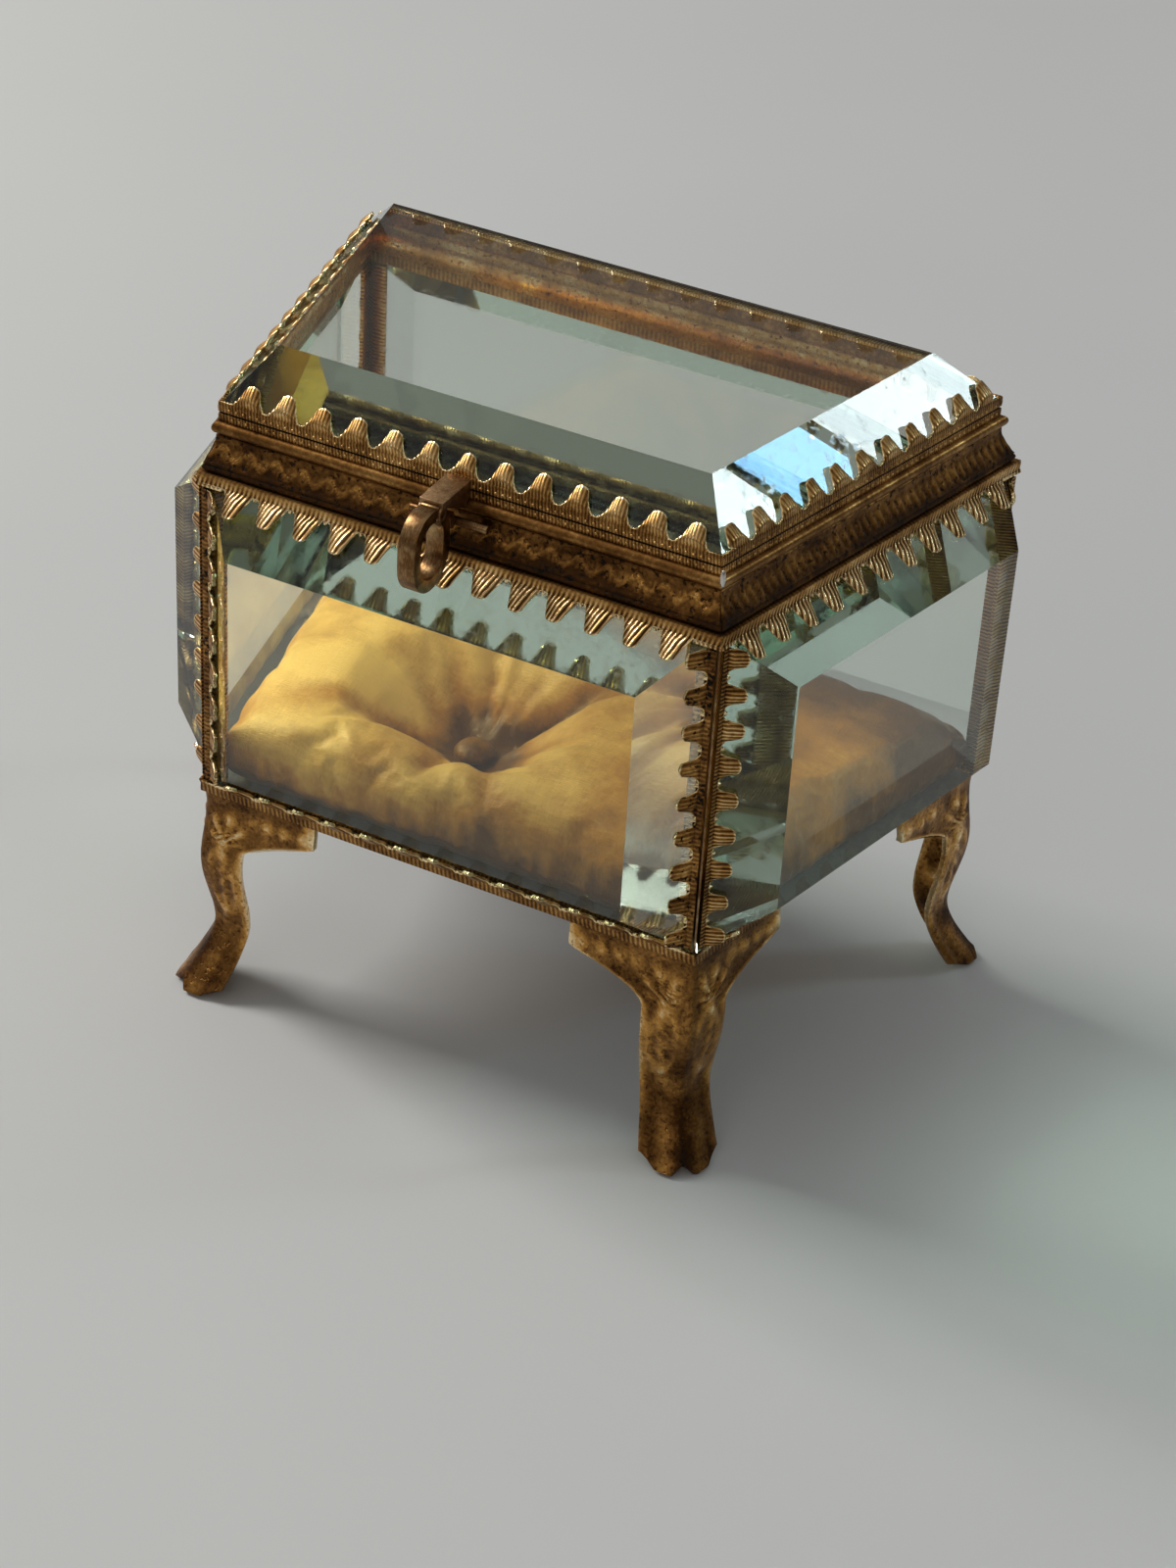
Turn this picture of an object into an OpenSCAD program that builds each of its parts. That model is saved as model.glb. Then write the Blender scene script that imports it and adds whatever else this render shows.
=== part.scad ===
// Small glass casket on four stamped legs: bevelled panes in toothed gilt strips,
// a hinged lid with a ring latch, and a buttoned satin pad inside.
// The plan is a symmetric trapezoid, narrow at the front and wide at the hinge.
// Millimetres, +Z up, front towards -Y. Sections are drawn as outward offset and level,
// where the outward offset is counted from the lid's outer edge.

/* [Plan] */
// Width of the lid along its front edge
front_w = 56; // [50:0.5:62]
// Width of the lid along its back edge
back_w = 75.6; // [70:0.2:84]
// Depth of the lid from front edge to back edge
depth = 45; // [41:0.5:52]
// How far the walls stand out past the lid's edge
wall_step = 1.8; // [1.6:0.1:2.2]

/* [Heights] */
// Floor to the underside of the walls
leg_h = 25.5; // [22:0.5:32]
// Height of the glazed walls
wall_h = 38.6; // [34:0.2:46]
// Height of the coved rim above the walls
rim_h = 3.9; // [3.6:0.1:4.4]

/* [Glass] */
// Thickness of every pane at its thin edge
pane_edge_t = 1.65; // [1.3:0.05:1.9]
// Rise of the bevel from the thin edge to the flat
bevel_rise = 5.35; // [4.5:0.05:6]
// Width of the bevel seen square on
bevel_run = 4.6; // [3.8:0.1:5.4]

/* [Gallery strips] */
// Thickness of the stamped brass
strip_t = 0.4; // [0.3:0.05:0.5]
// Height of a channel's plain band, before its teeth
strip_band = 1.55; // [1.3:0.05:1.9]
// Height of a channel's lip behind the pane
inner_lip = 1.5; // [1.1:0.1:2]
// Plain sheet between the fold of a channel and the valleys of its teeth
fold_w = 0.1; // [0.05:0.05:0.2]
// Distance from tooth to tooth
tooth_pitch = 4.1; // [3.6:0.1:5]
// Length of a tooth along the bevel
tooth_len = 2.3; // [2:0.1:2.8]
// Width of a tooth at its root
tooth_w = 1.7; // [1.4:0.05:1.9]
// Radius of a tooth's tip
tooth_tip_r = 0.65; // [0.5:0.05:0.7]
// Radius of the curve between a tooth and the band
valley_r = 0.75; // [0.4:0.05:0.8]
// Least distance of a wall's teeth from its corners
row_clear = 3.9; // [3.4:0.1:4.4]
// Least distance of an upright strip's teeth from its ends
post_clear = 2.8; // [2.6:0.1:3.2]
// Least distance of the lid's teeth from its corners
lid_row_clear = 2.2; // [2:0.1:2.8]
// Dark slot between the two strips of a corner
corner_slot = 0.44; // [0.4:0.02:0.6]
// Thickness of the plate that stands in the slot
corner_plate_t = 0.2; // [0.14:0.02:0.22]

/* [Rim and lid edge] */
// Inner face of the rim, inside the lid's edge
rim_in = 1.2; // [0.9:0.1:1.5]
// How far the rim's foot stands out past the lid's edge
rim_out = 1.42; // [1.3:0.02:1.5]
// Radius of the bead at the rim's foot
rim_bead_r = 0.44; // [0.36:0.02:0.5]
// How far the rim's top stands out past the lid's edge
rim_lip = 0.2; // [0.1:0.05:0.3]
// Gap between the shut lid and the rim
lid_gap = 0.1; // [0.05:0.05:0.2]
// Height of the half-round edge of the lid
moulding_h = 1.4; // [1.2:0.1:1.6]
// How far the half-round stands out past the lid's edge
moulding_out = 0.6; // [0.4:0.05:0.65]
// Inward reach of the flange under the lid's pane
lid_flange = 1.6; // [1.3:0.1:2.2]

/* [Floor and pad] */
// Thickness of the brass floor
floor_t = 0.8; // [0.6:0.1:1.2]
// Thickness of the card under the pad
card_t = 1; // [0.8:0.1:1.5]
// Clearance of the pad and its card from the walls' lips
pad_clear = 0.45; // [0.4:0.05:0.8]
// Height of the pad at its puffed quarters
pad_h = 9.4; // [8:0.2:12]
// Height of the pad's sewn edge
pad_edge_h = 5.8; // [5:0.2:6.4]
// Height of the pad's floor under the button
tuft_h = 2.3; // [1.8:0.1:3.5]
// Place of the tuft to the right of the middle
tuft_x = -5; // [-7:0.5:0]
// Place of the tuft behind the middle
tuft_y = -5.5; // [-7:0.5:0]
// Depth of the folds that run out from the tuft
fold_depth = 1.8; // [1:0.1:2.4]
// Diameter of the covered button
button_d = 4.6; // [4:0.1:5.2]
// Height of the covered button
button_h = 1.7; // [1.4:0.1:2]

/* [Legs] */
// Thickness of the folded sheet
leg_t = 0.7; // [0.6:0.05:0.9]
// Width of each leaf of a leg below its wings
leg_w = 5.8; // [5.2:0.1:6.5]
// Reach of a wing from the corner, under the wall
wing_w = 14.2; // [12:0.2:15]
// Depth of the wings below the wall, to where they leave the leg
wing_h = 7; // [6:0.5:8]
// How far the knee stands out
knee_out = 0.8; // [0.4:0.1:1.2]
// How far the ankle draws in
ankle_in = 0.8; // [0.4:0.1:1.2]
// Outward kick of the toe
toe_kick = 4.5; // [3:0.1:5]
// Height at which the kick starts
kick_h = 9; // [7:0.5:11]
// Height of the notch between the two lobes of a toe
toe_notch = 1.1; // [0.8:0.1:1.4]
// Radius of the fold down a leg
leg_fold = 0.9; // [0.6:0.1:1.2]

/* [Hinge] */
// Length of the hinge
hinge_len = 27; // [22:0.5:32]
// Distance of the hinge's axis behind the lid's edge
hinge_out = 1.95; // [1.9:0.05:2.1]
// Radius of a knuckle
knuckle_r = 1.1; // [1:0.05:1.15]
// Radius of the hinge wire
hinge_pin_r = 0.5; // [0.4:0.05:0.6]
// Play between two knuckles
knuckle_gap = 0.15; // [0.1:0.05:0.3]
// Thickness of a hinge leaf
leaf_t = 0.45; // [0.4:0.05:0.5]
// How far each end of the wire stands out of the last knuckle
pin_proud = 0.3; // [0.2:0.1:0.6]

/* [Latch] */
// Place of the latch to the right of the middle
latch_x = -0.4; // [-1:0.1:0]
// Length of the thumb plate out from the lid
thumb_len = 5.4; // [5.2:0.05:5.45]
// Width of the thumb plate
thumb_w = 2.4; // [2.3:0.05:2.8]
// Thickness of the thumb plate's top
thumb_t = 0.4; // [0.3:0.05:0.45]
// Height of the folded cheeks at the thumb plate's tip
thumb_tip_h = 0.6; // [0.55:0.05:0.65]
// Thickness of each cheek under the thumb plate
cheek_t = 0.35; // [0.3:0.05:0.38]
// Distance of the latch pin out from the lid's edge
latch_out = 5.2; // [5.15:0.05:5.3]
// Drop of the latch pin below the thumb plate's top
latch_drop = 1.27; // [1.25:0.01:1.3]
// Radius of the latch pin
latch_pin_r = 0.35; // [0.3:0.05:0.4]
// Radius of the eye round the latch pin, and of the cheeks' ears
eye_r = 0.72; // [0.7:0.02:0.76]
// Width of the latch's flat strip
latch_w = 1.5; // [1.3:0.05:1.55]
// Thickness of the latch's flat strip
latch_t = 0.8; // [0.7:0.05:0.85]
// Half the width of the ring, over its outside
ring_r = 3.4; // [3.2:0.1:3.4]
// Straight length at the ring's sides
ring_straight = 1.8; // [1.6:0.1:2]
// Distance of the ring's middle out from the lid's edge
ring_out = 6.6; // [6.5:0.1:6.7]
// Drop of the ring's middle below the latch pin
ring_drop = 3.6; // [3.5:0.05:3.7]
// Radius of the catch bar
bar_r = 0.45; // [0.35:0.05:0.5]
// Length of the catch bar
bar_len = 8.6; // [8:0.1:10]
// Distance of the catch bar out from the lid's edge
bar_out = 1.7; // [1.5:0.05:1.75]
// Drop of the catch bar's middle below the rim's top
bar_drop = 0.3; // [0.25:0.05:0.5]
// Gap between the latch's tail and the catch bar
tail_gap = 0.15; // [0.1:0.05:0.25]

/* [Hidden] */

// Smooth arcs
$fn = 48;
// Straight stretches in a tooth's valley and round its tip
valley_steps = 3;
tip_steps = 6;
// Clearance between pieces that are soldered or seated face to face
fit = 0.02;
// Clearance round a pin, on the radius
running = 0.05;
// Clearance over the pad and under its button
soft_gap = 0.3;
// The walls in turn, each seen from outside
FRONT = 0;
RIGHT = 1;
BACK = 2;
LEFT = 3;

// Levels
wall_top = leg_h + wall_h;
rim_top = wall_top + rim_h;
lid_bottom = rim_top + lid_gap;
lid_strip_z = lid_bottom + moulding_h;
lid_pane_z = lid_strip_z + strip_t + fit;
lid_land_z = lid_pane_z + pane_edge_t;
lid_top = lid_land_z + bevel_rise;
floor_top = leg_h + floor_t;
pad_z = floor_top + fit + card_t + fit;

// Outward offsets of the layers of a wall
leg_inner_face = wall_step - strip_t;
pane_face = leg_inner_face - fit;
pane_back = pane_face - pane_edge_t;
pane_flat = pane_face + bevel_rise;
lip_face = pane_back - fit;
lip_back = lip_face - strip_t;
// Set back of a pane's end from the mitre, behind the web of its channel
web_back = corner_slot / 2 + strip_t + fit;

// The bevel's slope, and where a folded sheet's outer faces meet at the fold
bevel_angle = atan(bevel_rise / bevel_run);
out_part = sin(bevel_angle);
run_part = cos(bevel_angle);
wall_fold_drop = strip_t * (1 - run_part) / out_part;
wall_fold_end = wall_fold_drop + fold_w;
lid_fold_rise = strip_t * (1 - out_part) / run_part;

// The walls' places on the plan
splay = atan((back_w - front_w) / 2 / depth);
side_len = depth / cos(splay);
side_x = (front_w + back_w) / 4;
wall_len = [front_w, side_len, back_w, side_len];
wall_turn = [0, 90 - splay, 180, splay - 90];
wall_mid = [[0, -depth / 2], [side_x, 0], [0, depth / 2], [-side_x, 0]];
mitre_front = 1 / tan((90 + splay) / 2);
mitre_back = 1 / tan((90 - splay) / 2);
mitre = [
    [mitre_front, mitre_front],
    [mitre_front, mitre_back],
    [mitre_back, mitre_back],
    [mitre_back, mitre_front]
];
corner_mitre = [mitre_front, mitre_front, mitre_back, mitre_back];

// The ring stands out furthest in front and the back pane behind: this centres the part
y_shift = (ring_out + ring_r - pane_flat) / 2;

// Hinge and latch
hinge_z = rim_top + lid_gap / 2;
knuckle_count = 5;
knuckle_step = (hinge_len + knuckle_gap) / knuckle_count;
pivot = [latch_out, lid_land_z - latch_drop];
bar_z = rim_top - bar_drop;
tail_r = latch_t / 2;
nose = [bar_out + bar_r + tail_gap + tail_r, bar_z + 0.05];
tail_bend = nose + [0.2, 1.15];

brass = "#a87a3c";
dark_brass = "#7c5527";
pale_brass = "#c49a58";
glass_tint = [0.72, 0.84, 0.79, 0.35];
satin = "#d9a441";
card_grey = "#8b7f6a";

// Puts a wall's own frame on the plan: x along the wall, y inwards
module on_wall(k) {
    translate([wall_mid[k].x, wall_mid[k].y + y_shift, 0]) rotate([0, 0, wall_turn[k]]) children();
}

// Where a wall's mitred end lies at outward offset o, set back by g; e is -1 or 1
function end_x(k, e, o, g = 0) = e * (wall_len[k] / 2 + o * mitre[k][(e + 1) / 2] - g);

// Where the plain land of a wall's pane ends and its bevel starts
function land_x(k, e) = end_x(k, e, wall_step, corner_slot / 2 + strip_band);

// Mitred straight bar between two outward offsets and two levels
module bar(k, o1, o2, z1, z2) {
    on_wall(k)
        translate([0, 0, z1])
            linear_extrude(z2 - z1)
                polygon([
                    [end_x(k, -1, o1, fit), -o1],
                    [end_x(k, 1, o1, fit), -o1],
                    [end_x(k, 1, o2, fit), -o2],
                    [end_x(k, -1, o2, fit), -o2]
                ]);
}

// A section of outward offset and level, run straight along a wall about its middle
module along_wall(k, length) {
    on_wall(k)
        rotate([90, 0, 90])
            linear_extrude(length, center = true)
                mirror([1, 0]) children();
}

// The same section, cut off at the wall's mitres
module mitred(k, o1, o2, z1, z2) {
    intersection() {
        along_wall(k, 2 * back_w) children();
        bar(k, o1, o2, z1, z2);
    }
}

// Plan of the whole trapezoid, offset outwards by o, from the front left corner round to the right
function plan(o) = [
    [-(front_w / 2 + o * mitre_front), y_shift - depth / 2 - o],
    [front_w / 2 + o * mitre_front, y_shift - depth / 2 - o],
    [back_w / 2 + o * mitre_back, y_shift + depth / 2 + o],
    [-(back_w / 2 + o * mitre_back), y_shift + depth / 2 + o]
];

function unit(v) = v / norm(v);

// Points of an arc round centre, from angle a1 to a2
function arc(centre, r, a1, a2, steps) =
    [for (i = [0:steps]) let (a = a1 + (a2 - a1) * i / steps) centre + r * [cos(a), sin(a)]];

// Outline of one tooth at x, pointing along +Y, with a curve up from the sheet on either side
function tooth_outline(x) =
    let (foot = tooth_w / 2 + valley_r, valley_y = fold_w + valley_r)
    concat(
        arc([x - foot, valley_y], valley_r, -90, 0, valley_steps),
        arc([x, tooth_len - tooth_tip_r], tooth_tip_r, 180, 0, tip_steps),
        arc([x + foot, valley_y], valley_r, -180, -90, valley_steps)
    );

// How many teeth a length holds when they keep clear of its ends
function tooth_count(length, clear) = floor((length - 2 * clear) / tooth_pitch) + 1;

// A row of teeth cut from one sheet, on the side of the XY plane that side names.
// Its root starts inside the folded sheet that ends at fold_end.
module tooth_row(count, side, fold_end) {
    reach = (count - 1) / 2 * tooth_pitch;
    end = reach + tooth_w / 2 + valley_r;
    translate([0, fold_end - fold_w / 2, side > 0 ? 0 : -strip_t])
        linear_extrude(strip_t)
            polygon(concat(
                [[-end, 0]],
                [for (i = [0:count - 1]) each tooth_outline(i * tooth_pitch - reach)],
                [[end, 0]]
            ));
}

// Channel along a wall's pane with its teeth folded over the bevel.
// Its web is at the level edge_z, and up says which way its teeth go.
module wall_strip(k, edge_z, up) {
    fold_in = [leg_inner_face + out_part * wall_fold_end, strip_band + run_part * wall_fold_end];
    fold_out = fold_in + strip_t * [run_part, -out_part];
    far_z = edge_z + up * 2 * strip_band;
    count = tooth_count(wall_len[k] + wall_step * (mitre[k][0] + mitre[k][1]), row_clear);
    mitred(k, lip_back, fold_out.x + wall_step, min(edge_z, far_z), max(edge_z, far_z))
        translate([0, edge_z])
            scale([1, up])
                polygon([
                    [lip_back, 0],
                    [wall_step, 0],
                    [wall_step, strip_band - wall_fold_drop],
                    fold_out,
                    fold_in,
                    [leg_inner_face, strip_band],
                    [leg_inner_face, strip_t],
                    [lip_face, strip_t],
                    [lip_face, inner_lip],
                    [lip_back, inner_lip]
                ]);
    on_wall(k)
        translate([0, -leg_inner_face, edge_z + up * strip_band])
            rotate([up * (90 + bevel_angle), 0, 0]) tooth_row(count, up, wall_fold_end);
}

// Channel up a wall's end, its web along the mitre; e is -1 for the left end, 1 for the right
module post_strip(k, e) {
    g = corner_slot / 2;
    band_x = land_x(k, e);
    fold_in = [band_x - e * run_part * wall_fold_end, -leg_inner_face - out_part * wall_fold_end];
    fold_out = fold_in + strip_t * [e * out_part, -run_part];
    leg_end = strip_band + run_part * wall_fold_end + fit;
    web_end = strip_t + fit;
    lip_end = inner_lip + fit;
    on_wall(k) {
        translate([0, 0, leg_h + leg_end])
            linear_extrude(wall_h - 2 * leg_end)
                polygon([
                    [end_x(k, e, wall_step, g), -wall_step],
                    [end_x(k, e, leg_inner_face, g), -leg_inner_face],
                    [band_x, -leg_inner_face],
                    fold_in,
                    fold_out,
                    [band_x + e * wall_fold_drop, -wall_step]
                ]);
        translate([0, 0, leg_h + web_end])
            linear_extrude(wall_h - 2 * web_end)
                polygon([
                    [end_x(k, e, leg_inner_face - fit, g), -leg_inner_face + fit],
                    [end_x(k, e, lip_face, g), -lip_face],
                    [end_x(k, e, lip_face, g + strip_t), -lip_face],
                    [end_x(k, e, leg_inner_face - fit, g + strip_t), -leg_inner_face + fit]
                ]);
        translate([0, 0, leg_h + leg_end])
            linear_extrude(wall_h - 2 * leg_end)
                polygon([
                    [end_x(k, e, leg_inner_face, g), -leg_inner_face],
                    [end_x(k, e, leg_inner_face - fit, g), -leg_inner_face + fit],
                    [end_x(k, e, leg_inner_face - fit, g + strip_t), -leg_inner_face + fit],
                    [end_x(k, e, leg_inner_face, g + strip_t), -leg_inner_face]
                ]);
        translate([0, 0, leg_h + lip_end])
            linear_extrude(wall_h - 2 * lip_end)
                polygon([
                    [end_x(k, e, lip_face, g), -lip_face],
                    [end_x(k, e, lip_back, g), -lip_back],
                    [end_x(k, e, lip_back, g + inner_lip), -lip_back],
                    [end_x(k, e, lip_face, g + inner_lip), -lip_face]
                ]);
        translate([band_x, -leg_inner_face, leg_h + wall_h / 2])
            rotate([0, 0, e * (90 + bevel_angle)])
                rotate([0, -90, 0]) tooth_row(tooth_count(wall_h, post_clear), e, wall_fold_end);
    }
}

// Bevelled pane of a wall: its upright section and its level section, both cut square to the wall
module wall_pane(k) {
    z1 = leg_h + strip_t + fit;
    z2 = wall_top - strip_t - fit;
    land_z1 = leg_h + strip_band;
    land_z2 = wall_top - strip_band;
    intersection() {
        along_wall(k, 2 * back_w)
            polygon([
                [pane_back, z1],
                [pane_face, z1],
                [pane_face, land_z1],
                [pane_flat, land_z1 + bevel_run],
                [pane_flat, land_z2 - bevel_run],
                [pane_face, land_z2],
                [pane_face, z2],
                [pane_back, z2]
            ]);
        on_wall(k)
            translate([0, 0, z1])
                linear_extrude(z2 - z1)
                    polygon([
                        [end_x(k, -1, pane_back, web_back), -pane_back],
                        [end_x(k, -1, pane_face, web_back), -pane_face],
                        [land_x(k, -1), -pane_face],
                        [land_x(k, -1) + bevel_run, -pane_flat],
                        [land_x(k, 1) - bevel_run, -pane_flat],
                        [land_x(k, 1), -pane_face],
                        [end_x(k, 1, pane_face, web_back), -pane_face],
                        [end_x(k, 1, pane_back, web_back), -pane_back]
                    ]);
    }
}

// Thin upright plate deep in the slot of a corner, along the mitre
module corner_post(i) {
    reach = [lip_face + 2 * fit, leg_inner_face - 2 * fit];
    inner = plan(reach[0])[i];
    outer = plan(reach[1])[i];
    along = outer - inner;
    web_end = strip_t + fit;
    translate([inner.x, inner.y, leg_h + web_end])
        rotate([0, 0, atan2(along.y, along.x)])
            translate([0, -corner_plate_t / 2, 0])
                cube([norm(along), corner_plate_t, wall_h - 2 * web_end]);
}

// Coved rim: a rounded foot bead, and a hollow that steepens up to the lid
cove_foot = wall_top + fit + 2 * rim_bead_r;
cove_steps = 8;
function cove_out(s) = rim_lip + (rim_out - rim_bead_r / 4 - rim_lip) * (1 - s) * (1 - s);

module rim_band(k) {
    bead_z = wall_top + fit + rim_bead_r;
    mitred(k, -rim_in, rim_out, wall_top + fit, rim_top)
        polygon(concat(
            [[-rim_in, wall_top + fit]],
            [for (a = [-90:30:60]) [rim_out - rim_bead_r + rim_bead_r * cos(a), bead_z + rim_bead_r * sin(a)]],
            [for (i = [1:cove_steps]) let (s = i / cove_steps) [cove_out(s), cove_foot + s * (rim_top - cove_foot)]],
            [[-rim_in, rim_top]]
        ));
}

// Half-round edge of the lid with the flat flange that it is rolled from
module lid_moulding(k) {
    r = (moulding_h - fit) / 2;
    mitred(k, -lid_flange, moulding_out, lid_bottom, lid_bottom + 2 * r) {
        translate([moulding_out - r, lid_bottom + r]) circle(r);
        translate([-lid_flange, lid_bottom]) square([lid_flange + moulding_out - r, 2 * r]);
    }
}

module lid_strip(k) {
    fold_in = [-strip_t - run_part * fold_w, lid_land_z + out_part * fold_w];
    fold_out = fold_in + strip_t * [out_part, run_part];
    mitred(k, -lid_flange, 0, lid_strip_z, fold_out.y)
        polygon([
            [-lid_flange, lid_strip_z],
            [0, lid_strip_z],
            [0, lid_land_z + lid_fold_rise],
            fold_out,
            fold_in,
            [-strip_t, lid_land_z],
            [-strip_t, lid_strip_z + strip_t],
            [-lid_flange, lid_strip_z + strip_t]
        ]);
    on_wall(k)
        translate([0, strip_t, lid_land_z])
            rotate([bevel_angle, 0, 0]) tooth_row(tooth_count(wall_len[k], lid_row_clear), 1, fold_w);
}

// Bevelled pane of the lid: the common part of the four bevelled edges
module lid_glass() {
    edge = -strip_t - fit;
    color(glass_tint)
        intersection_for (k = [0:3])
            along_wall(k, 2 * back_w)
                polygon([
                    [-back_w, lid_pane_z],
                    [edge, lid_pane_z],
                    [edge, lid_land_z],
                    [edge - bevel_run, lid_top],
                    [-back_w, lid_top]
                ]);
}

module base_plate() {
    color(dark_brass) translate([0, 0, leg_h]) linear_extrude(floor_t) polygon(plan(lip_back - fit));
}

module cushion_card() {
    color(card_grey) translate([0, 0, floor_top + fit]) linear_extrude(card_t) polygon(plan(lip_back - pad_clear));
}

// The pad: a grid of crowned, tufted top and two rings of drawn-in side
pad_cells = 24;
// How far the pad draws in under its widest line, and above it
pad_tuck = 1;
pad_shoulder = 0.5;
// Width of the dip round the tuft, and of the folds that run out of it
dip_r = 5.5;
crease_w = 1.5;
// Directions of the folds on the plan, and how far they run
crease_turns = [38, 102, 214, 318];
crease_reach = 24;

// Point of the pad's plan at u and v from -1 to 1, drawn in by inset
function pad_xy(u, v, inset) =
    let (p = plan(lip_back - pad_clear - inset), f = (v + 1) / 2, half_x = p[1].x + (p[2].x - p[1].x) * f)
    [u * half_x, p[1].y + (p[2].y - p[1].y) * f];

function crown(t) = sqrt(max(0, 1 - pow(abs(t), 2.6)));

function crease(p, turn) =
    let (ahead = p.x * cos(turn) + p.y * sin(turn), aside = p.y * cos(turn) - p.x * sin(turn))
    ahead <= 0 || ahead >= crease_reach
        ? 0
        : exp(-pow(aside / crease_w, 2)) * min(1, ahead / 3) * (1 - ahead / crease_reach);

function pad_height(u, v) =
    let (
        at = pad_xy(u, v, pad_shoulder) - [tuft_x, y_shift + tuft_y],
        dome = pad_edge_h + (pad_h - pad_edge_h) * crown(u) * crown(v),
        dip = exp(-pow(max(0, norm(at) - 0.65 * button_d) / dip_r, 2)),
        creases = max([for (turn = crease_turns) crease(at, turn)]),
        top = dome - (dome - tuft_h) * dip - fold_depth * creases * crown(u) * crown(v)
    )
    max(tuft_h, top);

// Grid place of the m-th point round the edge, from the front left corner to the right
function edge_place(m, n) = m < n ? [m, 0] : m < 2 * n ? [n, m - n] : m < 3 * n ? [3 * n - m, n] : [0, 4 * n - m];

module cushion() {
    n = pad_cells;
    round = 4 * n;
    // Levels and insets of the two rings of the side: the widest line and the bottom
    side_rings = [[0.45 * pad_edge_h, 0], [0, pad_tuck]];
    top_points = [for (j = [0:n], i = [0:n])
        let (u = 2 * i / n - 1, v = 2 * j / n - 1, p = pad_xy(u, v, pad_shoulder))
        [p.x, p.y, pad_z + pad_height(u, v)]];
    side_points = [for (ring = side_rings, m = [0:round - 1])
        let (e = edge_place(m, n), p = pad_xy(2 * e.x / n - 1, 2 * e.y / n - 1, ring[1]))
        [p.x, p.y, pad_z + ring[0]]];
    first = len(top_points);
    centre = first + len(side_points);
    // Number of the m-th point of the grid's edge or of a side ring
    function ring_point(r, m) =
        let (e = edge_place(m % round, n))
        r == 0 ? e.x + e.y * (n + 1) : first + (r - 1) * round + m % round;
    color(satin)
        polyhedron(
            points = concat(top_points, side_points, [[0, y_shift, pad_z]]),
            faces = concat(
                [for (j = [0:n - 1], i = [0:n - 1], half = [0, 1])
                    let (a = i + j * (n + 1), c = a + n + 2)
                    half == 0 ? [a, c, a + 1] : [a, a + n + 1, c]],
                [for (r = [0, 1], m = [0:round - 1], half = [0, 1])
                    half == 0
                        ? [ring_point(r, m), ring_point(r, m + 1), ring_point(r + 1, m + 1)]
                        : [ring_point(r, m), ring_point(r + 1, m + 1), ring_point(r + 1, m)]],
                [for (m = [0:round - 1]) [centre, ring_point(2, m), ring_point(2, m + 1)]]
            )
        );
}

// Covered button, a low dome over a short straight edge
module cushion_button() {
    r = button_d / 2;
    edge_h = button_h / 3;
    dome_h = button_h - edge_h;
    dome_r = (r * r + dome_h * dome_h) / (2 * dome_h);
    color(satin)
        translate([tuft_x, y_shift + tuft_y, pad_z + tuft_h + soft_gap])
            intersection() {
                cylinder(r = r, h = button_h);
                translate([0, 0, button_h - dome_r]) sphere(dome_r);
            }
}

// A leg is one sheet folded round its corner. It is drawn as rings at rising levels,
// each running out along the sheet's outer face and back along its inner face.
leg_steps = 12;
leg_levels = 24;

// Half-length of the fold's outline at a level counted from the floor
function leaf_reach(z) =
    let (wing = min(1, max(0, (z - leg_h + wing_h) / (wing_h - 3))), ankle = exp(-pow((z / leg_h - 0.25) / 0.2, 2)))
    leg_w * (1 - 0.15 * ankle) + (wing_w - leg_w) * pow(wing, 1.8);

// How far a leg stands out at a level: a knee, an ankle and a kicked toe
function leg_shift(z) =
    knee_out * exp(-pow((z / leg_h - 0.66) / 0.17, 2))
    - ankle_in * exp(-pow((z / leg_h - 0.33) / 0.15, 2))
    + toe_kick * pow(max(0, 1 - z / kick_h), 1.8);

// Two lobes touch the floor, with a notch at the fold and lifted ends
function lobe_z(t) = toe_notch * max(0, 1.3 * pow(cos(180 * t), 2) - 0.3);

function leg_point(i, o, t, h) =
    let (
        corners = plan(o),
        here = corners[i],
        ahead = unit(corners[(i + 1) % 4] - here),
        behind = unit(corners[(i + 3) % 4] - here),
        outwards = unit(here - plan(o - 1)[i]),
        top = leg_h - fit,
        z = lobe_z(t) + (top - lobe_z(t)) * h,
        s = t * (leaf_reach(top * h) - (wall_step - o) * corner_mitre[i]),
        bend = sqrt(s * s + leg_fold * leg_fold),
        p = here + ahead * (bend - s) / 2 + behind * (bend + s) / 2 + outwards * leg_shift(z)
    )
    [p.x, p.y, z];

module foot(i) {
    // Places across the sheet, closer together near the fold
    places = [for (n = [0:leg_steps]) let (t = 2 * n / leg_steps - 1) sign(t) * pow(abs(t), 1.5)];
    ring = 2 * (leg_steps + 1);
    points = [for (j = [0:leg_levels], m = [0:ring - 1])
        let (outside = m <= leg_steps)
        leg_point(i, outside ? wall_step : wall_step - leg_t, places[outside ? m : ring - 1 - m], j / leg_levels)];
    top = leg_levels * ring;
    color(brass)
        polyhedron(
            points = points,
            faces = concat(
                [for (j = [0:leg_levels - 1], m = [0:ring - 1], half = [0, 1])
                    let (a = j * ring + m, b = j * ring + (m + 1) % ring)
                    half == 0 ? [a, b, b + ring] : [a, b + ring, a + ring]],
                [for (m = [0:leg_steps - 1], half = [0, 1])
                    half == 0 ? [m, ring - 1 - m, ring - 2 - m] : [m, ring - 2 - m, m + 1]],
                [for (m = [0:leg_steps - 1], half = [0, 1])
                    half == 0
                        ? [top + m, top + m + 1, top + ring - 2 - m]
                        : [top + m, top + ring - 2 - m, top + ring - 1 - m]]
            )
        );
}

// Round bar across the rim's front, on two lugs soldered to the cove
lug_x = 3.5;
lug_w = 0.8;
lug_h = 0.6;

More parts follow.
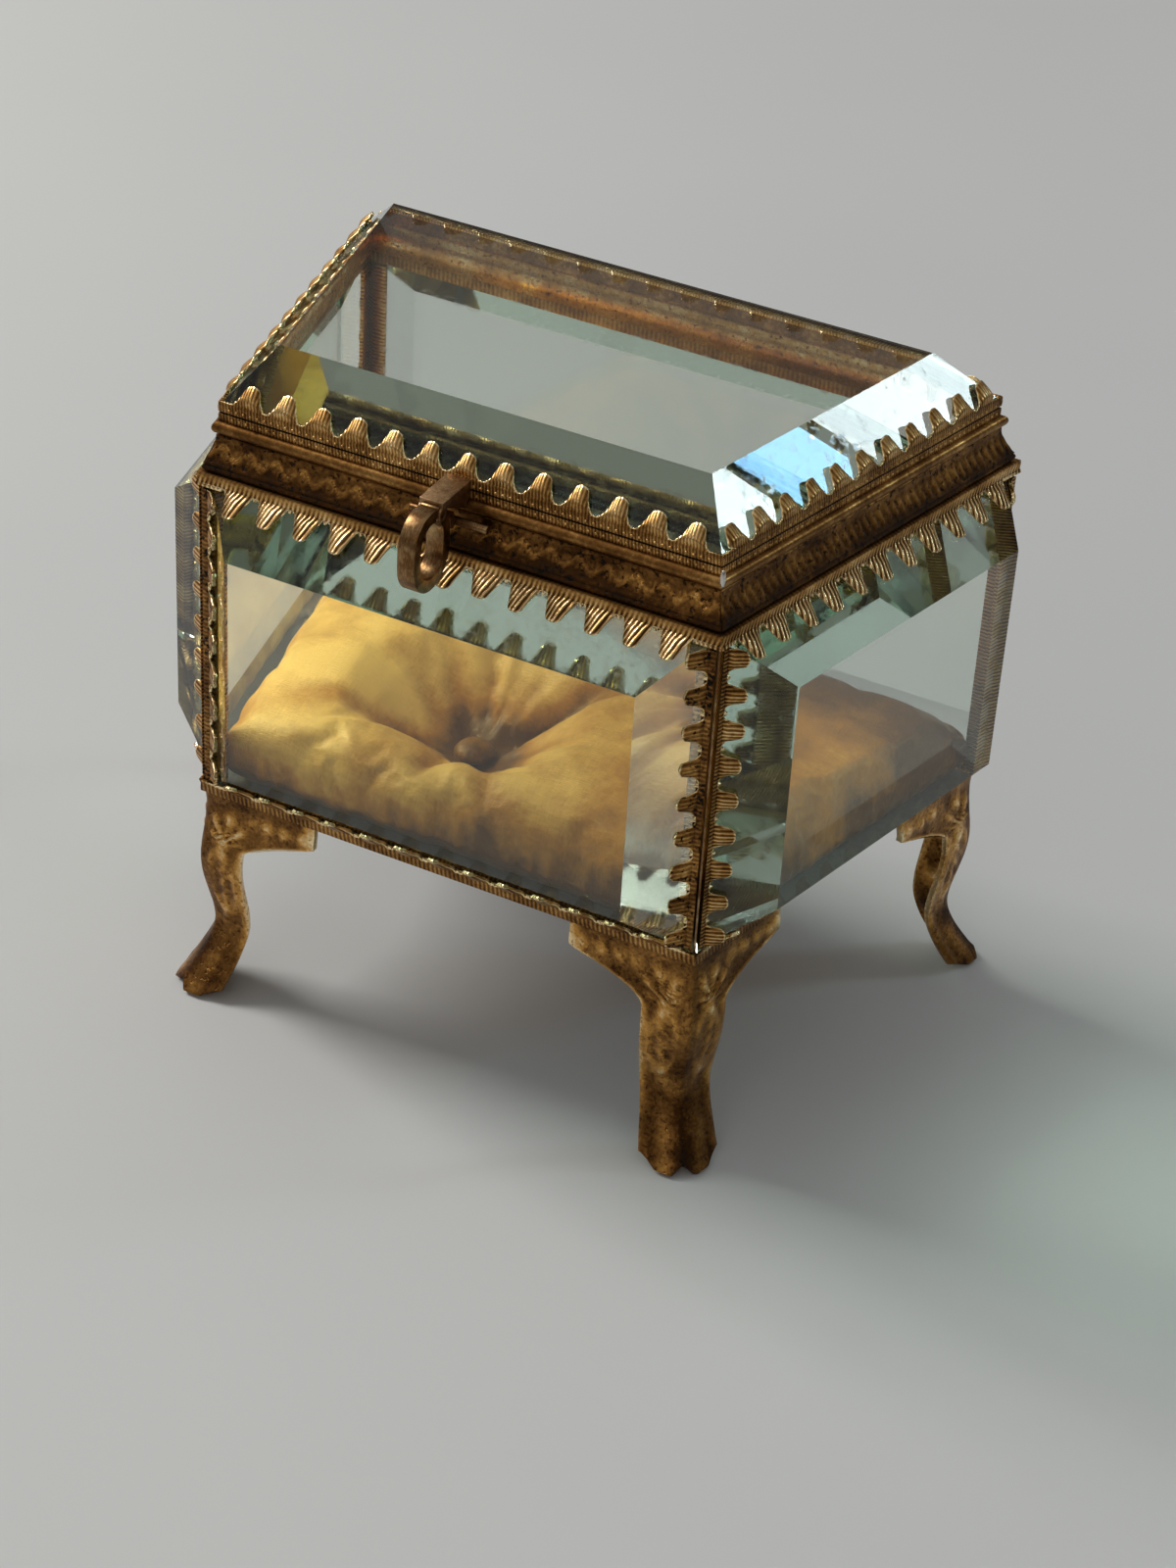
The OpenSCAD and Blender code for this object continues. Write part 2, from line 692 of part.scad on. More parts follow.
module catch_bar() {
    lug_foot = cove_out((bar_z - lug_h / 2 - cove_foot) / (rim_top - cove_foot)) + fit;
    color(brass)
        on_wall(FRONT)
            translate([latch_x, 0, bar_z]) {
                translate([0, -bar_out, 0]) rotate([0, 90, 0]) cylinder(r = bar_r, h = bar_len, center = true);
                for (side = [-1, 1])
                    translate([side * lug_x - lug_w / 2, -bar_out, -lug_h / 2])
                        cube([lug_w, bar_out - lug_foot, lug_h]);
            }
}

// Cylinder across the back on the hinge's axis
module hinge_rod(r, length) {
    on_wall(BACK) translate([0, -hinge_out, hinge_z]) rotate([0, 90, 0]) cylinder(r = r, h = length, center = true);
}

// Where every other knuckle stands along the hinge, starting with number first
function knuckle_places(first) = [for (i = [first:2:knuckle_count - 1]) (i - (knuckle_count - 1) / 2) * knuckle_step];

// Knuckles with the tongues that carry them, their section given as a child, bored for the wire
module knuckles(first) {
    difference() {
        for (x = knuckle_places(first))
            on_wall(BACK)
                translate([x, 0, 0])
                    rotate([90, 0, 90])
                        linear_extrude(knuckle_step - knuckle_gap, center = true)
                            mirror([1, 0]) {
                                translate([hinge_out, hinge_z]) circle(knuckle_r);
                                children();
                            }
        hinge_rod(hinge_pin_r + running, 2 * hinge_len);
    }
}

module hinge_leaf_box() {
    leaf_in = wall_step + fit;
    leaf_z = wall_top - strip_band + wall_fold_drop + fit;
    color(brass) {
        along_wall(BACK, hinge_len)
            translate([leaf_in, leaf_z]) square([leaf_t, hinge_z - knuckle_r - knuckle_gap - leaf_z]);
        knuckles(0) translate([leaf_in, leaf_z]) square([leaf_t, hinge_z - leaf_z]);
    }
}

module hinge_leaf_lid() {
    leaf_z = lid_strip_z + strip_t;
    shoulder = lid_strip_z + 0.05;
    color(brass) {
        along_wall(BACK, hinge_len)
            translate([fit, leaf_z]) square([leaf_t, lid_land_z - leaf_z]);
        knuckles(1)
            polygon([
                [fit, leaf_z + leaf_t],
                [fit + leaf_t, leaf_z + leaf_t],
                [hinge_out + 0.25, hinge_z + knuckle_r - 0.1],
                [hinge_out - 0.55, hinge_z + 0.75],
                [moulding_out, shoulder],
                [fit, shoulder]
            ]);
    }
}

module hinge_pin() {
    color(pale_brass) hinge_rod(hinge_pin_r, hinge_len + 2 * pin_proud);
}

// Puts a section of outward offset and level across the middle of the latch
module across_latch(width) {
    translate([latch_x, 0, 0]) along_wall(FRONT, width) children();
}

// Thumb plate: a folded channel with two cheeks that carry the latch pin
module thumb_plate() {
    cheek_in = moulding_out + 0.15;
    cheek_low = lid_strip_z - 0.6;
    shoulder = lid_strip_z + 0.05;
    color(brass)
        difference() {
            union() {
                across_latch(thumb_w)
                    translate([fit, lid_land_z - thumb_t]) square([thumb_len - fit, thumb_t]);
                for (side = [-1, 1])
                    translate([side * (thumb_w - cheek_t) / 2, 0, 0])
                        across_latch(cheek_t) {
                            polygon([
                                [fit, lid_land_z],
                                [thumb_len, lid_land_z],
                                [thumb_len, lid_land_z - thumb_tip_h],
                                [cheek_in, cheek_low],
                                [cheek_in, shoulder],
                                [fit, shoulder]
                            ]);
                            translate(pivot) circle(eye_r);
                        }
            }
            across_latch(2 * thumb_w) translate(pivot) circle(latch_pin_r + running);
        }
}

module latch_pin() {
    color(pale_brass) across_latch(thumb_w + 0.2) translate(pivot) circle(latch_pin_r);
}

// Upright loop with round ends
module loop_outline(r) {
    translate([ring_out, pivot.y - ring_drop]) {
        square([2 * r, ring_straight], center = true);
        for (side = [-1, 1]) translate([0, side * ring_straight / 2]) circle(r);
    }
}

// Straight strip from a to b with a round end at b
module strip_to(a, b, r) {
    along = b - a;
    translate(a) rotate(atan2(along.y, along.x)) translate([0, -r]) square([norm(along), 2 * r]);
    translate(b) circle(r);
}

// Finger ring with an eye on the latch pin and a tail that snaps behind the catch bar
module latch_ring() {
    color(pale_brass)
        across_latch(latch_w)
            difference() {
                union() {
                    difference() {
                        loop_outline(ring_r);
                        loop_outline(ring_r - latch_t);
                    }
                    translate(pivot) circle(eye_r);
                    strip_to(pivot, tail_bend, tail_r);
                    strip_to(tail_bend, nose, tail_r);
                }
                translate(pivot) circle(latch_pin_r + running);
            }
}

module front_glass() { color(glass_tint) wall_pane(FRONT); }
module right_glass() { color(glass_tint) wall_pane(RIGHT); }
module back_glass() { color(glass_tint) wall_pane(BACK); }
module left_glass() { color(glass_tint) wall_pane(LEFT); }
module lower_strip(k) { color(brass) wall_strip(k, leg_h, 1); }
module upper_strip(k) { color(brass) wall_strip(k, wall_top, -1); }

base_plate();
front_glass();
right_glass();
back_glass();
left_glass();
lower_strip(FRONT);  // lower_strip_front
lower_strip(RIGHT);  // lower_strip_right
lower_strip(BACK);  // lower_strip_back
lower_strip(LEFT);  // lower_strip_left
upper_strip(FRONT);  // upper_strip_front
upper_strip(RIGHT);  // upper_strip_right
upper_strip(BACK);  // upper_strip_back
upper_strip(LEFT);  // upper_strip_left
color(brass) post_strip(FRONT, -1);  // post_strip_front_left
color(brass) post_strip(FRONT, 1);  // post_strip_front_right
color(brass) post_strip(RIGHT, -1);  // post_strip_right_front
color(brass) post_strip(RIGHT, 1);  // post_strip_right_back
color(brass) post_strip(BACK, -1);  // post_strip_back_right
color(brass) post_strip(BACK, 1);  // post_strip_back_left
color(brass) post_strip(LEFT, -1);  // post_strip_left_back
color(brass) post_strip(LEFT, 1);  // post_strip_left_front
color(pale_brass) corner_post(0);  // corner_post_front_left
color(pale_brass) corner_post(1);  // corner_post_front_right
color(pale_brass) corner_post(2);  // corner_post_back_right
color(pale_brass) corner_post(3);  // corner_post_back_left
color(brass) rim_band(FRONT);  // rim_band_front
color(brass) rim_band(RIGHT);  // rim_band_right
color(brass) rim_band(BACK);  // rim_band_back
color(brass) rim_band(LEFT);  // rim_band_left
foot(0);  // foot_front_left
foot(1);  // foot_front_right
foot(2);  // foot_back_right
foot(3);  // foot_back_left
cushion_card();
cushion();
cushion_button();
catch_bar();
hinge_leaf_box();
hinge_pin();
lid_glass();
color(brass) lid_strip(FRONT);  // lid_strip_front
color(brass) lid_strip(RIGHT);  // lid_strip_right
color(brass) lid_strip(BACK);  // lid_strip_back
color(brass) lid_strip(LEFT);  // lid_strip_left
color(brass) lid_moulding(FRONT);  // lid_moulding_front
color(brass) lid_moulding(RIGHT);  // lid_moulding_right
color(brass) lid_moulding(BACK);  // lid_moulding_back
color(brass) lid_moulding(LEFT);  // lid_moulding_left
hinge_leaf_lid();
thumb_plate();
latch_pin();
latch_ring();
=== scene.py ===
import math
import random
from collections import namedtuple

import bmesh
import bpy
from mathutils import Matrix, Vector


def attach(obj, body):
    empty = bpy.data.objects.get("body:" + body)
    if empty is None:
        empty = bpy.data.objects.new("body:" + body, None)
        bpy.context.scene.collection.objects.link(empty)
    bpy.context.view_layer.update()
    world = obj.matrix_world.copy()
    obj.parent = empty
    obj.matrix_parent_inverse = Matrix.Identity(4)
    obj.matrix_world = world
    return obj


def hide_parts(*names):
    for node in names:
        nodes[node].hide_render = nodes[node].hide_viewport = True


# Small glass casket: bevelled panes in toothed gilt strips, a ring latch, a buttoned satin pad.
# The casket's lengths are millimetres, as on a drawing, and its meshes are made metres at the end.
# The studio, its lamps and the camera are in metres.
# Sections are drawn as outward offset from the lid's edge and level above the floor.
MM = 0.001

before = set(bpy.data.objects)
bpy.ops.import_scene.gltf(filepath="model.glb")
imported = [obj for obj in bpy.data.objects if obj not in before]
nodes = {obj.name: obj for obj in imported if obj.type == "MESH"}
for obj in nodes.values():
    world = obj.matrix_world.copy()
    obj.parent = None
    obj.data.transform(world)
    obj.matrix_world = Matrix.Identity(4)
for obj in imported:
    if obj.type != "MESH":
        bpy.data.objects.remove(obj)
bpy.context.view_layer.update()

# Plan
FRONT_W = 56.0
BACK_W = 75.6
DEPTH = 45.0
WALL_STEP = 1.8
Y_SHIFT = 1.635
SPLAY = math.atan((BACK_W - FRONT_W) / 2 / DEPTH)
SIDE_LEN = DEPTH / math.cos(SPLAY)
SIDE_X = (FRONT_W + BACK_W) / 4
WALL_LEN = [FRONT_W, SIDE_LEN, BACK_W, SIDE_LEN]
WALL_TURN = [0.0, math.pi / 2 - SPLAY, math.pi, SPLAY - math.pi / 2]
WALL_MID = [(0, -DEPTH / 2), (SIDE_X, 0), (0, DEPTH / 2), (-SIDE_X, 0)]
# How far an offset line runs on past a corner, for each unit of its offset
MITRE_FRONT = 1 / math.tan((math.pi / 2 + SPLAY) / 2)
MITRE_BACK = 1 / math.tan((math.pi / 2 - SPLAY) / 2)
# For each wall, at its left and right end seen from outside
MITRE = [
    (MITRE_FRONT, MITRE_FRONT),
    (MITRE_FRONT, MITRE_BACK),
    (MITRE_BACK, MITRE_BACK),
    (MITRE_BACK, MITRE_FRONT),
]
WALLS = ["front", "right", "back", "left"]
FIT = 0.02

# Levels
LEG_H = 25.5
WALL_TOP = 64.1
RIM_TOP = 68.0
LID_STRIP_Z = 69.5
LID_LAND_Z = 71.57
PAD_Z = 27.34

# Stamped strips
STRIP_T = 0.4
STRIP_BAND = 1.55
INNER_LIP = 1.5
LIP_BACK = -0.69
CORNER_SLOT = 0.44
# The upright strips stop short of the corner, so that a dark slot shows
SLOT_SIDE = 0.52
LID_FLANGE = 1.6
GROOVE_UP = 0.95
GROOVE_DEEP = 0.14
# How far the strips' plain bands swell outwards
BAND_SWELL = 0.03
POST_SWELL = 0.05
# Plain metal past the end teeth's roots
END_CLEAR = 0.1

# The panes' bevel, which the teeth lie on
BEVEL_RISE = 5.35
BEVEL_RUN = 4.6
BEVEL = math.atan2(BEVEL_RISE, BEVEL_RUN)
OUT_PART = math.sin(BEVEL)
RUN_PART = math.cos(BEVEL)
FOLD_DROP = STRIP_T * (1 - RUN_PART) / OUT_PART
LID_FOLD_RISE = STRIP_T * (1 - OUT_PART) / RUN_PART
FOLD_SOFTNESS = 0.26

# Tip and valley are distances past the fold, swell is how far a tooth puffs up, and skew
# moves the roots to one side, which leaves that side hollow and the other one steep
Teeth = namedtuple("Teeth", "tip valley width taper swell skew")
WALL_TEETH = Teeth(tip=2.65, valley=-0.35, width=2.95, taper=0.52, swell=0.40, skew=0.24)
POST_TEETH = Teeth(tip=2.00, valley=-0.36, width=2.45, taper=0.34, swell=0.34, skew=0.0)
LID_TEETH = Teeth(tip=2.42, valley=0.02, width=2.75, taper=0.50, swell=0.46, skew=0.08)
PITCH = 4.1
POST_TEETH_COUNT = 9

# Relief and painted shading that the brass reads: soot below about 0, a plain face at 0.5, bright at 1.
# The bright value also stands for painted light on lips behind the glass, and SHADED for painted shade.
HOLLOW = -0.6
SHADED = 0.3
PLAIN = 0.5
# Painted light: lips and a flange behind the glass are painted this bright, as if lit
PAINTED_LIT = 1.0


def on_wall(k):
    """A wall's own frame: x along the wall to the right seen from outside, y inwards."""
    x, y = WALL_MID[k]
    return Matrix.Translation((x, y + Y_SHIFT, 0)) @ Matrix.Rotation(WALL_TURN[k], 4, "Z")


def end_x(k, e, o, g=0.0):
    """Where a wall's mitred end lies at outward offset o, set back by g."""
    return e * (WALL_LEN[k] / 2 + o * MITRE[k][(e + 1) // 2] - g)


def plan(o):
    """Corners of the plan offset outwards by o, from the front left round to the right."""
    front_x = FRONT_W / 2 + o * MITRE_FRONT
    back_x = BACK_W / 2 + o * MITRE_BACK
    front_y = Y_SHIFT - DEPTH / 2 - o
    back_y = Y_SHIFT + DEPTH / 2 + o
    return [Vector(p) for p in
            ((-front_x, front_y), (front_x, front_y), (back_x, back_y), (-back_x, back_y))]


def clamp(x, low=0.0, high=1.0):
    return max(low, min(high, x))


def bump_at(x, centre, width):
    """A smooth hump of height 1."""
    return math.exp(-((x - centre) / width) ** 2)


# Materials

def new_material(name):
    material = bpy.data.materials.new(name)
    material.use_nodes = True
    tree = material.node_tree
    return material, tree, tree.nodes["Principled BSDF"]


def add(tree, kind, **values):
    """Adds a shader node; values are properties of the node or, failing that, its inputs."""
    node = tree.nodes.new("ShaderNode" + kind)
    for name, value in values.items():
        if hasattr(node, name):
            setattr(node, name, value)
        else:
            node.inputs[name.replace("_", " ")].default_value = value
    return node


def calc(tree, operation, *terms):
    """A maths node; a term is a number or an output socket."""
    node = add(tree, "Math", operation=operation)
    for n, term in enumerate(terms):
        if isinstance(term, (int, float)):
            node.inputs[n].default_value = term
        else:
            tree.links.new(term, node.inputs[n])
    return node.outputs[0]


def plus(tree, tone, value, weight):
    """Adds a share of a value to a tone."""
    return calc(tree, "MULTIPLY_ADD", value, weight, tone)


def fit_range(tree, value, low, high, to_low, to_high):
    """Maps low..high to to_low..to_high and stops at both ends."""
    node = add(tree, "MapRange", clamp=True)
    tree.links.new(value, node.inputs["Value"])
    for name, number in zip(("From Min", "From Max", "To Min", "To Max"), (low, high, to_low, to_high)):
        node.inputs[name].default_value = number
    return node.outputs["Result"]


def ramp(tree, value, *stops):
    """A colour ramp; a stop is (place, (r, g, b))."""
    node = add(tree, "ValToRGB")
    bar = node.color_ramp
    while len(bar.elements) < len(stops):
        bar.elements.new(0.5)
    for element, (place, colour) in zip(bar.elements, stops):
        element.position = place
        element.color = (*colour, 1)
    tree.links.new(value, node.inputs["Fac"])
    return node.outputs["Color"]


def noise(tree, scale, detail, rough=0.55, stretch=None):
    """Noise on object coordinates; scale is in features per metre."""
    coords = add(tree, "TexCoord").outputs["Object"]
    if stretch:
        mapping = add(tree, "Mapping")
        mapping.inputs["Scale"].default_value = stretch
        tree.links.new(coords, mapping.inputs["Vector"])
        coords = mapping.outputs["Vector"]
    node = add(tree, "TexNoise")
    node.inputs["Scale"].default_value = scale
    node.inputs["Detail"].default_value = detail
    node.inputs["Roughness"].default_value = rough
    tree.links.new(coords, node.inputs["Vector"])
    return node.outputs["Fac"]


def attribute(tree, name):
    return add(tree, "Attribute", attribute_name=name).outputs["Fac"]


def split(tree, vector):
    """A vector's X, Y and Z."""
    parts = add(tree, "SeparateXYZ")
    tree.links.new(vector, parts.inputs[0])
    return parts.outputs


def own_map(tree):
    """The piece's own map, in millimetres: X along a strip, Y across it."""
    return split(tree, add(tree, "UVMap", uv_map="UVMap").outputs["UV"])


def feed(tree, shader, name, value):
    """Links a node's output to one of a shader's inputs."""
    tree.links.new(value, shader.inputs[name])


def set_bump(tree, shader, height, depth):
    node = add(tree, "Bump")
    node.inputs["Strength"].default_value = 1.0
    node.inputs["Distance"].default_value = depth * MM
    tree.links.new(height, node.inputs["Height"])
    feed(tree, shader, "Normal", node.outputs["Normal"])


def ribs(tree, pitch, lean, wobble):
    """Fine parallel ribs that lean by so many degrees: 0 in a groove, 1 on a rib."""
    place = own_map(tree)
    across = calc(tree, "MULTIPLY", place["X"], math.cos(math.radians(lean)) / pitch)
    along = calc(tree, "MULTIPLY", place["Y"], math.sin(math.radians(lean)) / pitch)
    phase = calc(tree, "ADD", across, along)
    sway = calc(tree, "MULTIPLY", noise(tree, 420, 2.0), wobble)
    wave = calc(tree, "SINE", calc(tree, "MULTIPLY", calc(tree, "ADD", phase, sway), 2 * math.pi))
    return calc(tree, "MULTIPLY_ADD", wave, 0.5, 0.5)


# Colours of aged brass, from the hollows to the rubbed edges
SOOT = (0.009, 0.005, 0.002)
UMBER = (0.075, 0.030, 0.008)
BRONZE = (0.240, 0.112, 0.030)
OLD_GOLD = (0.580, 0.335, 0.110)
PALE_GOLD = (0.960, 0.750, 0.420)
# How near other metal of the same piece has to be to darken a hollow
HOLLOW_REACH = 1.4
RIB_WOBBLE = 0.7
# A rib's mean height, at which it changes no colour
RIB_MEAN = 0.6
RIBS_GROW_OVER = 0.9
PIT_DEPTH = 1.4


def stamped_brass(name, rib_pitch=0.0, lean=0.0, depth=0.05, warm=0.0, wear=0.0, contrast=0.5,
                  pits=0.0, plain_to=None):
    """Aged gilt brass: soot in the hollows, bronze on the faces, pale gold where it is rubbed, with
    painted shade and painted light that some pieces add.
    With plain_to, a strip is plain that far across its map, and its ribs grow in past it."""
    material, tree, shader = new_material(name)
    patches = noise(tree, 260, 6.0, 0.6)
    grain = noise(tree, 2600, 3.0, 0.6)
    tone = plus(tree, wear - 0.11, patches, 0.66)
    tone = plus(tree, tone, grain, 0.34)
    # Stamped relief, with painted shade on some faces and painted light on others
    tone = plus(tree, tone, attribute(tree, "relief_and_shading"), 0.36)
    tone = plus(tree, tone, attribute(tree, "rim"), 0.58)
    height = calc(tree, "MULTIPLY", grain, 0.35)
    if rib_pitch:
        rib = ribs(tree, rib_pitch, lean, RIB_WOBBLE)
        if plain_to is not None:
            grown = fit_range(tree, own_map(tree)["Y"], plain_to, plain_to + RIBS_GROW_OVER, 0.2, 1.0)
            rib = plus(tree, RIB_MEAN, calc(tree, "SUBTRACT", rib, RIB_MEAN), grown)
        tone = calc(tree, "ADD", tone, plus(tree, -RIB_MEAN * contrast, rib, contrast))
        height = calc(tree, "ADD", height, rib)
    if pits:
        pitting = fit_range(tree, noise(tree, 1700, 3.0, 0.55), 0.57, 0.66, 0.0, 1.0)
        tone = calc(tree, "ADD", tone, calc(tree, "MULTIPLY", pitting, -pits))
        height = calc(tree, "ADD", height, calc(tree, "MULTIPLY", pitting, -PIT_DEPTH))
    hollow = add(tree, "AmbientOcclusion", samples=6)
    hollow.inputs["Distance"].default_value = HOLLOW_REACH * MM
    # Glass that lies against a strip leaves it bright
    hollow.only_local = True
    open_sky = fit_range(tree, hollow.outputs["AO"], 0.15, 0.8, -0.42, 0.0)
    tone = calc(tree, "ADD", tone, open_sky)
    red, green, blue = OLD_GOLD
    gold = (red, green * (1 - 0.12 * warm), blue * (1 - 0.35 * warm))
    colour = ramp(tree, tone, (0.13, SOOT), (0.33, UMBER), (0.50, BRONZE), (0.68, gold), (0.90, PALE_GOLD))
    feed(tree, shader, "Base Color", colour)
    feed(tree, shader, "Roughness", fit_range(tree, tone, 0.1, 0.85, 0.62, 0.22))
    feed(tree, shader, "Metallic", fit_range(tree, tone, 0.12, 0.34, 0.75, 1.0))
    set_bump(tree, shader, height, depth)
    return material


def brushed_brass(name, light, dark, stretch, rough):
    """Smooth brass with drawn scratches and brown tarnish."""
    material, tree, shader = new_material(name)
    tarnish = noise(tree, 340, 6.0, 0.65)
    scratches = noise(tree, 1500, 4.0, 0.7, stretch)
    tone = plus(tree, -0.12, tarnish, 0.75)
    tone = plus(tree, tone, scratches, 0.45)
    feed(tree, shader, "Base Color", ramp(tree, tone, (0.2, UMBER), (0.42, dark), (0.75, light)))
    feed(tree, shader, "Roughness", fit_range(tree, tone, 0.2, 0.8, rough + 0.2, rough))
    shader.inputs["Metallic"].default_value = 1.0
    set_bump(tree, shader, scratches, 0.02)
    return material


def thick_glass(name):
    """Old sea-green plate glass with a little dust; lamps shine through it on to the pad."""
    material, tree, shader = new_material(name)
    shader.inputs["Base Color"].default_value = (0.975, 0.99, 0.975, 1)
    shader.inputs["Transmission Weight"].default_value = 1.0
    shader.inputs["IOR"].default_value = 1.5
    shader.inputs["Specular IOR Level"].default_value = 0.36
    dust = noise(tree, 900, 8.0, 0.75)
    feed(tree, shader, "Roughness", fit_range(tree, dust, 0.5, 0.8, 0.0, 0.22))
    clear = add(tree, "BsdfTransparent", Color=(0.90, 0.955, 0.93, 1))
    mix = add(tree, "MixShader")
    tree.links.new(add(tree, "LightPath").outputs["Is Shadow Ray"], mix.inputs[0])
    tree.links.new(shader.outputs[0], mix.inputs[1])
    tree.links.new(clear.outputs[0], mix.inputs[2])
    out = tree.nodes["Material Output"]
    tree.links.new(mix.outputs[0], out.inputs["Surface"])
    body = add(tree, "VolumeAbsorption")
    body.inputs["Color"].default_value = (0.46, 0.72, 0.55, 1)
    body.inputs["Density"].default_value = 18.0
    tree.links.new(body.outputs[0], out.inputs["Volume"])
    return material


SATIN_BROWN = (0.13, 0.042, 0.003)
SATIN_OCHRE = (0.56, 0.222, 0.018)
SATIN_GOLD = (1.0, 0.575, 0.12)


def satin(name, darker_by=0.0):
    """Golden satin: fine warp ribs, soft sheen, blotches of brown, and painted shade where the pad sets
    it; the second argument darkens it all over.
    """
    material, tree, shader = new_material(name)
    soil = noise(tree, 90, 5.0, 0.6)
    threads = noise(tree, 1100, 2.0, 0.5, (1.0, 6.0, 1.0))
    weft = noise(tree, 1100, 2.0, 0.5, (6.0, 1.0, 1.0))
    weave = calc(tree, "ADD", threads, weft)
    tone = plus(tree, -0.15 - darker_by, soil, 1.2)
    tone = plus(tree, tone, weave, 0.18)
    # Painted shade: darker in the folds, round the button, low down and to the right
    tone = calc(tree, "SUBTRACT", tone, calc(tree, "MULTIPLY", attribute(tree, "crease"), 0.66))
    colour = ramp(tree, tone, (0.0, SATIN_BROWN), (0.34, SATIN_OCHRE), (0.66, SATIN_GOLD))
    feed(tree, shader, "Base Color", colour)
    shader.inputs["Roughness"].default_value = 0.38
    shader.inputs["Specular Tint"].default_value = (1.0, 0.70, 0.28, 1)
    shader.inputs["Sheen Weight"].default_value = 0.10
    shader.inputs["Sheen Roughness"].default_value = 0.4
    shader.inputs["Sheen Tint"].default_value = (1.0, 0.74, 0.32, 1)
    set_bump(tree, shader, weave, 0.06)
    return material


def grey_card(name):
    material, tree, shader = new_material(name)
    fibres = noise(tree, 1800, 6.0, 0.7)
    colour = ramp(tree, fibres, (0.3, (0.045, 0.036, 0.026)), (0.7, (0.11, 0.092, 0.07)))
    feed(tree, shader, "Base Color", colour)
    shader.inputs["Roughness"].default_value = 0.9
    set_bump(tree, shader, fibres, 0.05)
    return material


WALL_BRASS = stamped_brass("gilt_wall_strip", rib_pitch=0.50, lean=17, depth=0.10, wear=0.04,
                           contrast=0.55, plain_to=0.3)
FOOT_STRIP_BRASS = stamped_brass("gilt_foot_strip", rib_pitch=0.50, lean=10, wear=-0.06, contrast=0.2)
POST_BRASS = stamped_brass("gilt_post_strip", rib_pitch=0.44, lean=3, warm=0.6, wear=-0.08,
                           contrast=0.34)
PITTED_BRASS = stamped_brass("gilt_pitted_strip", rib_pitch=0.52, lean=5, depth=0.06, warm=0.6,
                             wear=-0.10, contrast=0.14, pits=0.5)
LID_BRASS = stamped_brass("gilt_lid_strip", rib_pitch=0.36, lean=4, depth=0.04, wear=-0.02,
                          contrast=0.2)
PLAIN_BRASS = stamped_brass("gilt_plain", depth=0.03, wear=0.10)
BEAD_BRASS = stamped_brass("gilt_beads", depth=0.02, wear=0.26)
RIM_BRASS = stamped_brass("gilt_rim", warm=1.0, wear=0.03, pits=0.22)
FOOT_BRASS = stamped_brass("foot_brass", depth=0.06, warm=1.0, wear=0.05, pits=0.08)
# Light and dark colour, then how the scratches are squeezed along x, y and z
RING_BRASS = brushed_brass("polished_ring", (0.66, 0.45, 0.21), (0.15, 0.070, 0.026),
                           stretch=(8.0, 1.0, 1.0), rough=0.2)
PIN_BRASS = brushed_brass("polished_pin", (0.78, 0.56, 0.32), (0.16, 0.08, 0.03),
                          stretch=(1.0, 6.0, 6.0), rough=0.25)
THUMB_BRASS = brushed_brass("thumb_plate_brass", (0.70, 0.47, 0.25), (0.20, 0.10, 0.045),
                            stretch=(3.0, 2.0, 3.0), rough=0.34)
SOLDER = brushed_brass("solder", (0.86, 0.84, 0.80), (0.60, 0.56, 0.50),
                       stretch=(1.0, 1.0, 0.4), rough=0.18)
FLOOR_BRASS = brushed_brass("dark_floor", (0.34, 0.20, 0.08), (0.16, 0.09, 0.04),
                            stretch=(6.0, 1.0, 1.0), rough=0.45)
GLASS = thick_glass("sea_green_glass")
SATIN = satin("golden_satin")
# The button's satin is darker all over
BUTTON_SATIN = satin("button_satin", darker_by=0.55)
CARD = grey_card("grey_card")


def dress(node_name, material):
    """Gives a kept node its finish."""
    mesh = nodes[node_name].data
    mesh.materials.clear()
    mesh.materials.append(material)


# Meshes

def mesh_from(bm, name):
    mesh = bpy.data.meshes.new(name)
    bm.to_mesh(mesh)
    bm.free()
    return mesh


def into_scene(name, data):
    """Makes an object of a mesh, a lamp or a camera and puts it in the scene."""
    thing = bpy.data.objects.new(name, data)
    bpy.context.scene.collection.objects.link(thing)
    return thing


def piece_from(bm, name, body, slot, material, *stands_for):
    """Turns a bmesh in millimetres into a piece that rides on a body and stands for nodes."""
    bmesh.ops.scale(bm, vec=(MM, MM, MM), verts=bm.verts)
    for face in bm.faces:
        face.smooth = True
    piece = into_scene(name, mesh_from(bm, name))
    piece.data.materials.append(material)
    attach(piece, body)
    if stands_for:
        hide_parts(*stands_for)
    return piece


SHARP_FOLD = math.radians(42)


def thicken(piece, thickness, edge=0.07):
    """Gives a sheet its thickness on the inside and softens its cut edges."""
    wall = piece.modifiers.new("thickness", "SOLIDIFY")
    wall.thickness = thickness * MM
    wall.offset = -1.0
    wall.use_even_offset = False
    soft = piece.modifiers.new("soft_edges", "BEVEL")
    soft.width = edge * MM
    soft.segments = 2
    soft.limit_method = "ANGLE"
    soft.angle_limit = SHARP_FOLD


def shows_outside(face):
    """How far a strip's face looks outwards, for faces on the strip's outer leg."""
    return -face.normal.y if face.calc_center_median().y < -0.9 * WALL_STEP else 0.0


def face_outwards(bm, outward):
    """Turns a sheet's faces so that most of them look outwards, as the given function sees it."""
    bm.normal_update()
    if sum(outward(face) * face.calc_area() for face in bm.faces) < 0:
        bmesh.ops.reverse_faces(bm, faces=bm.faces)
    bm.normal_update()


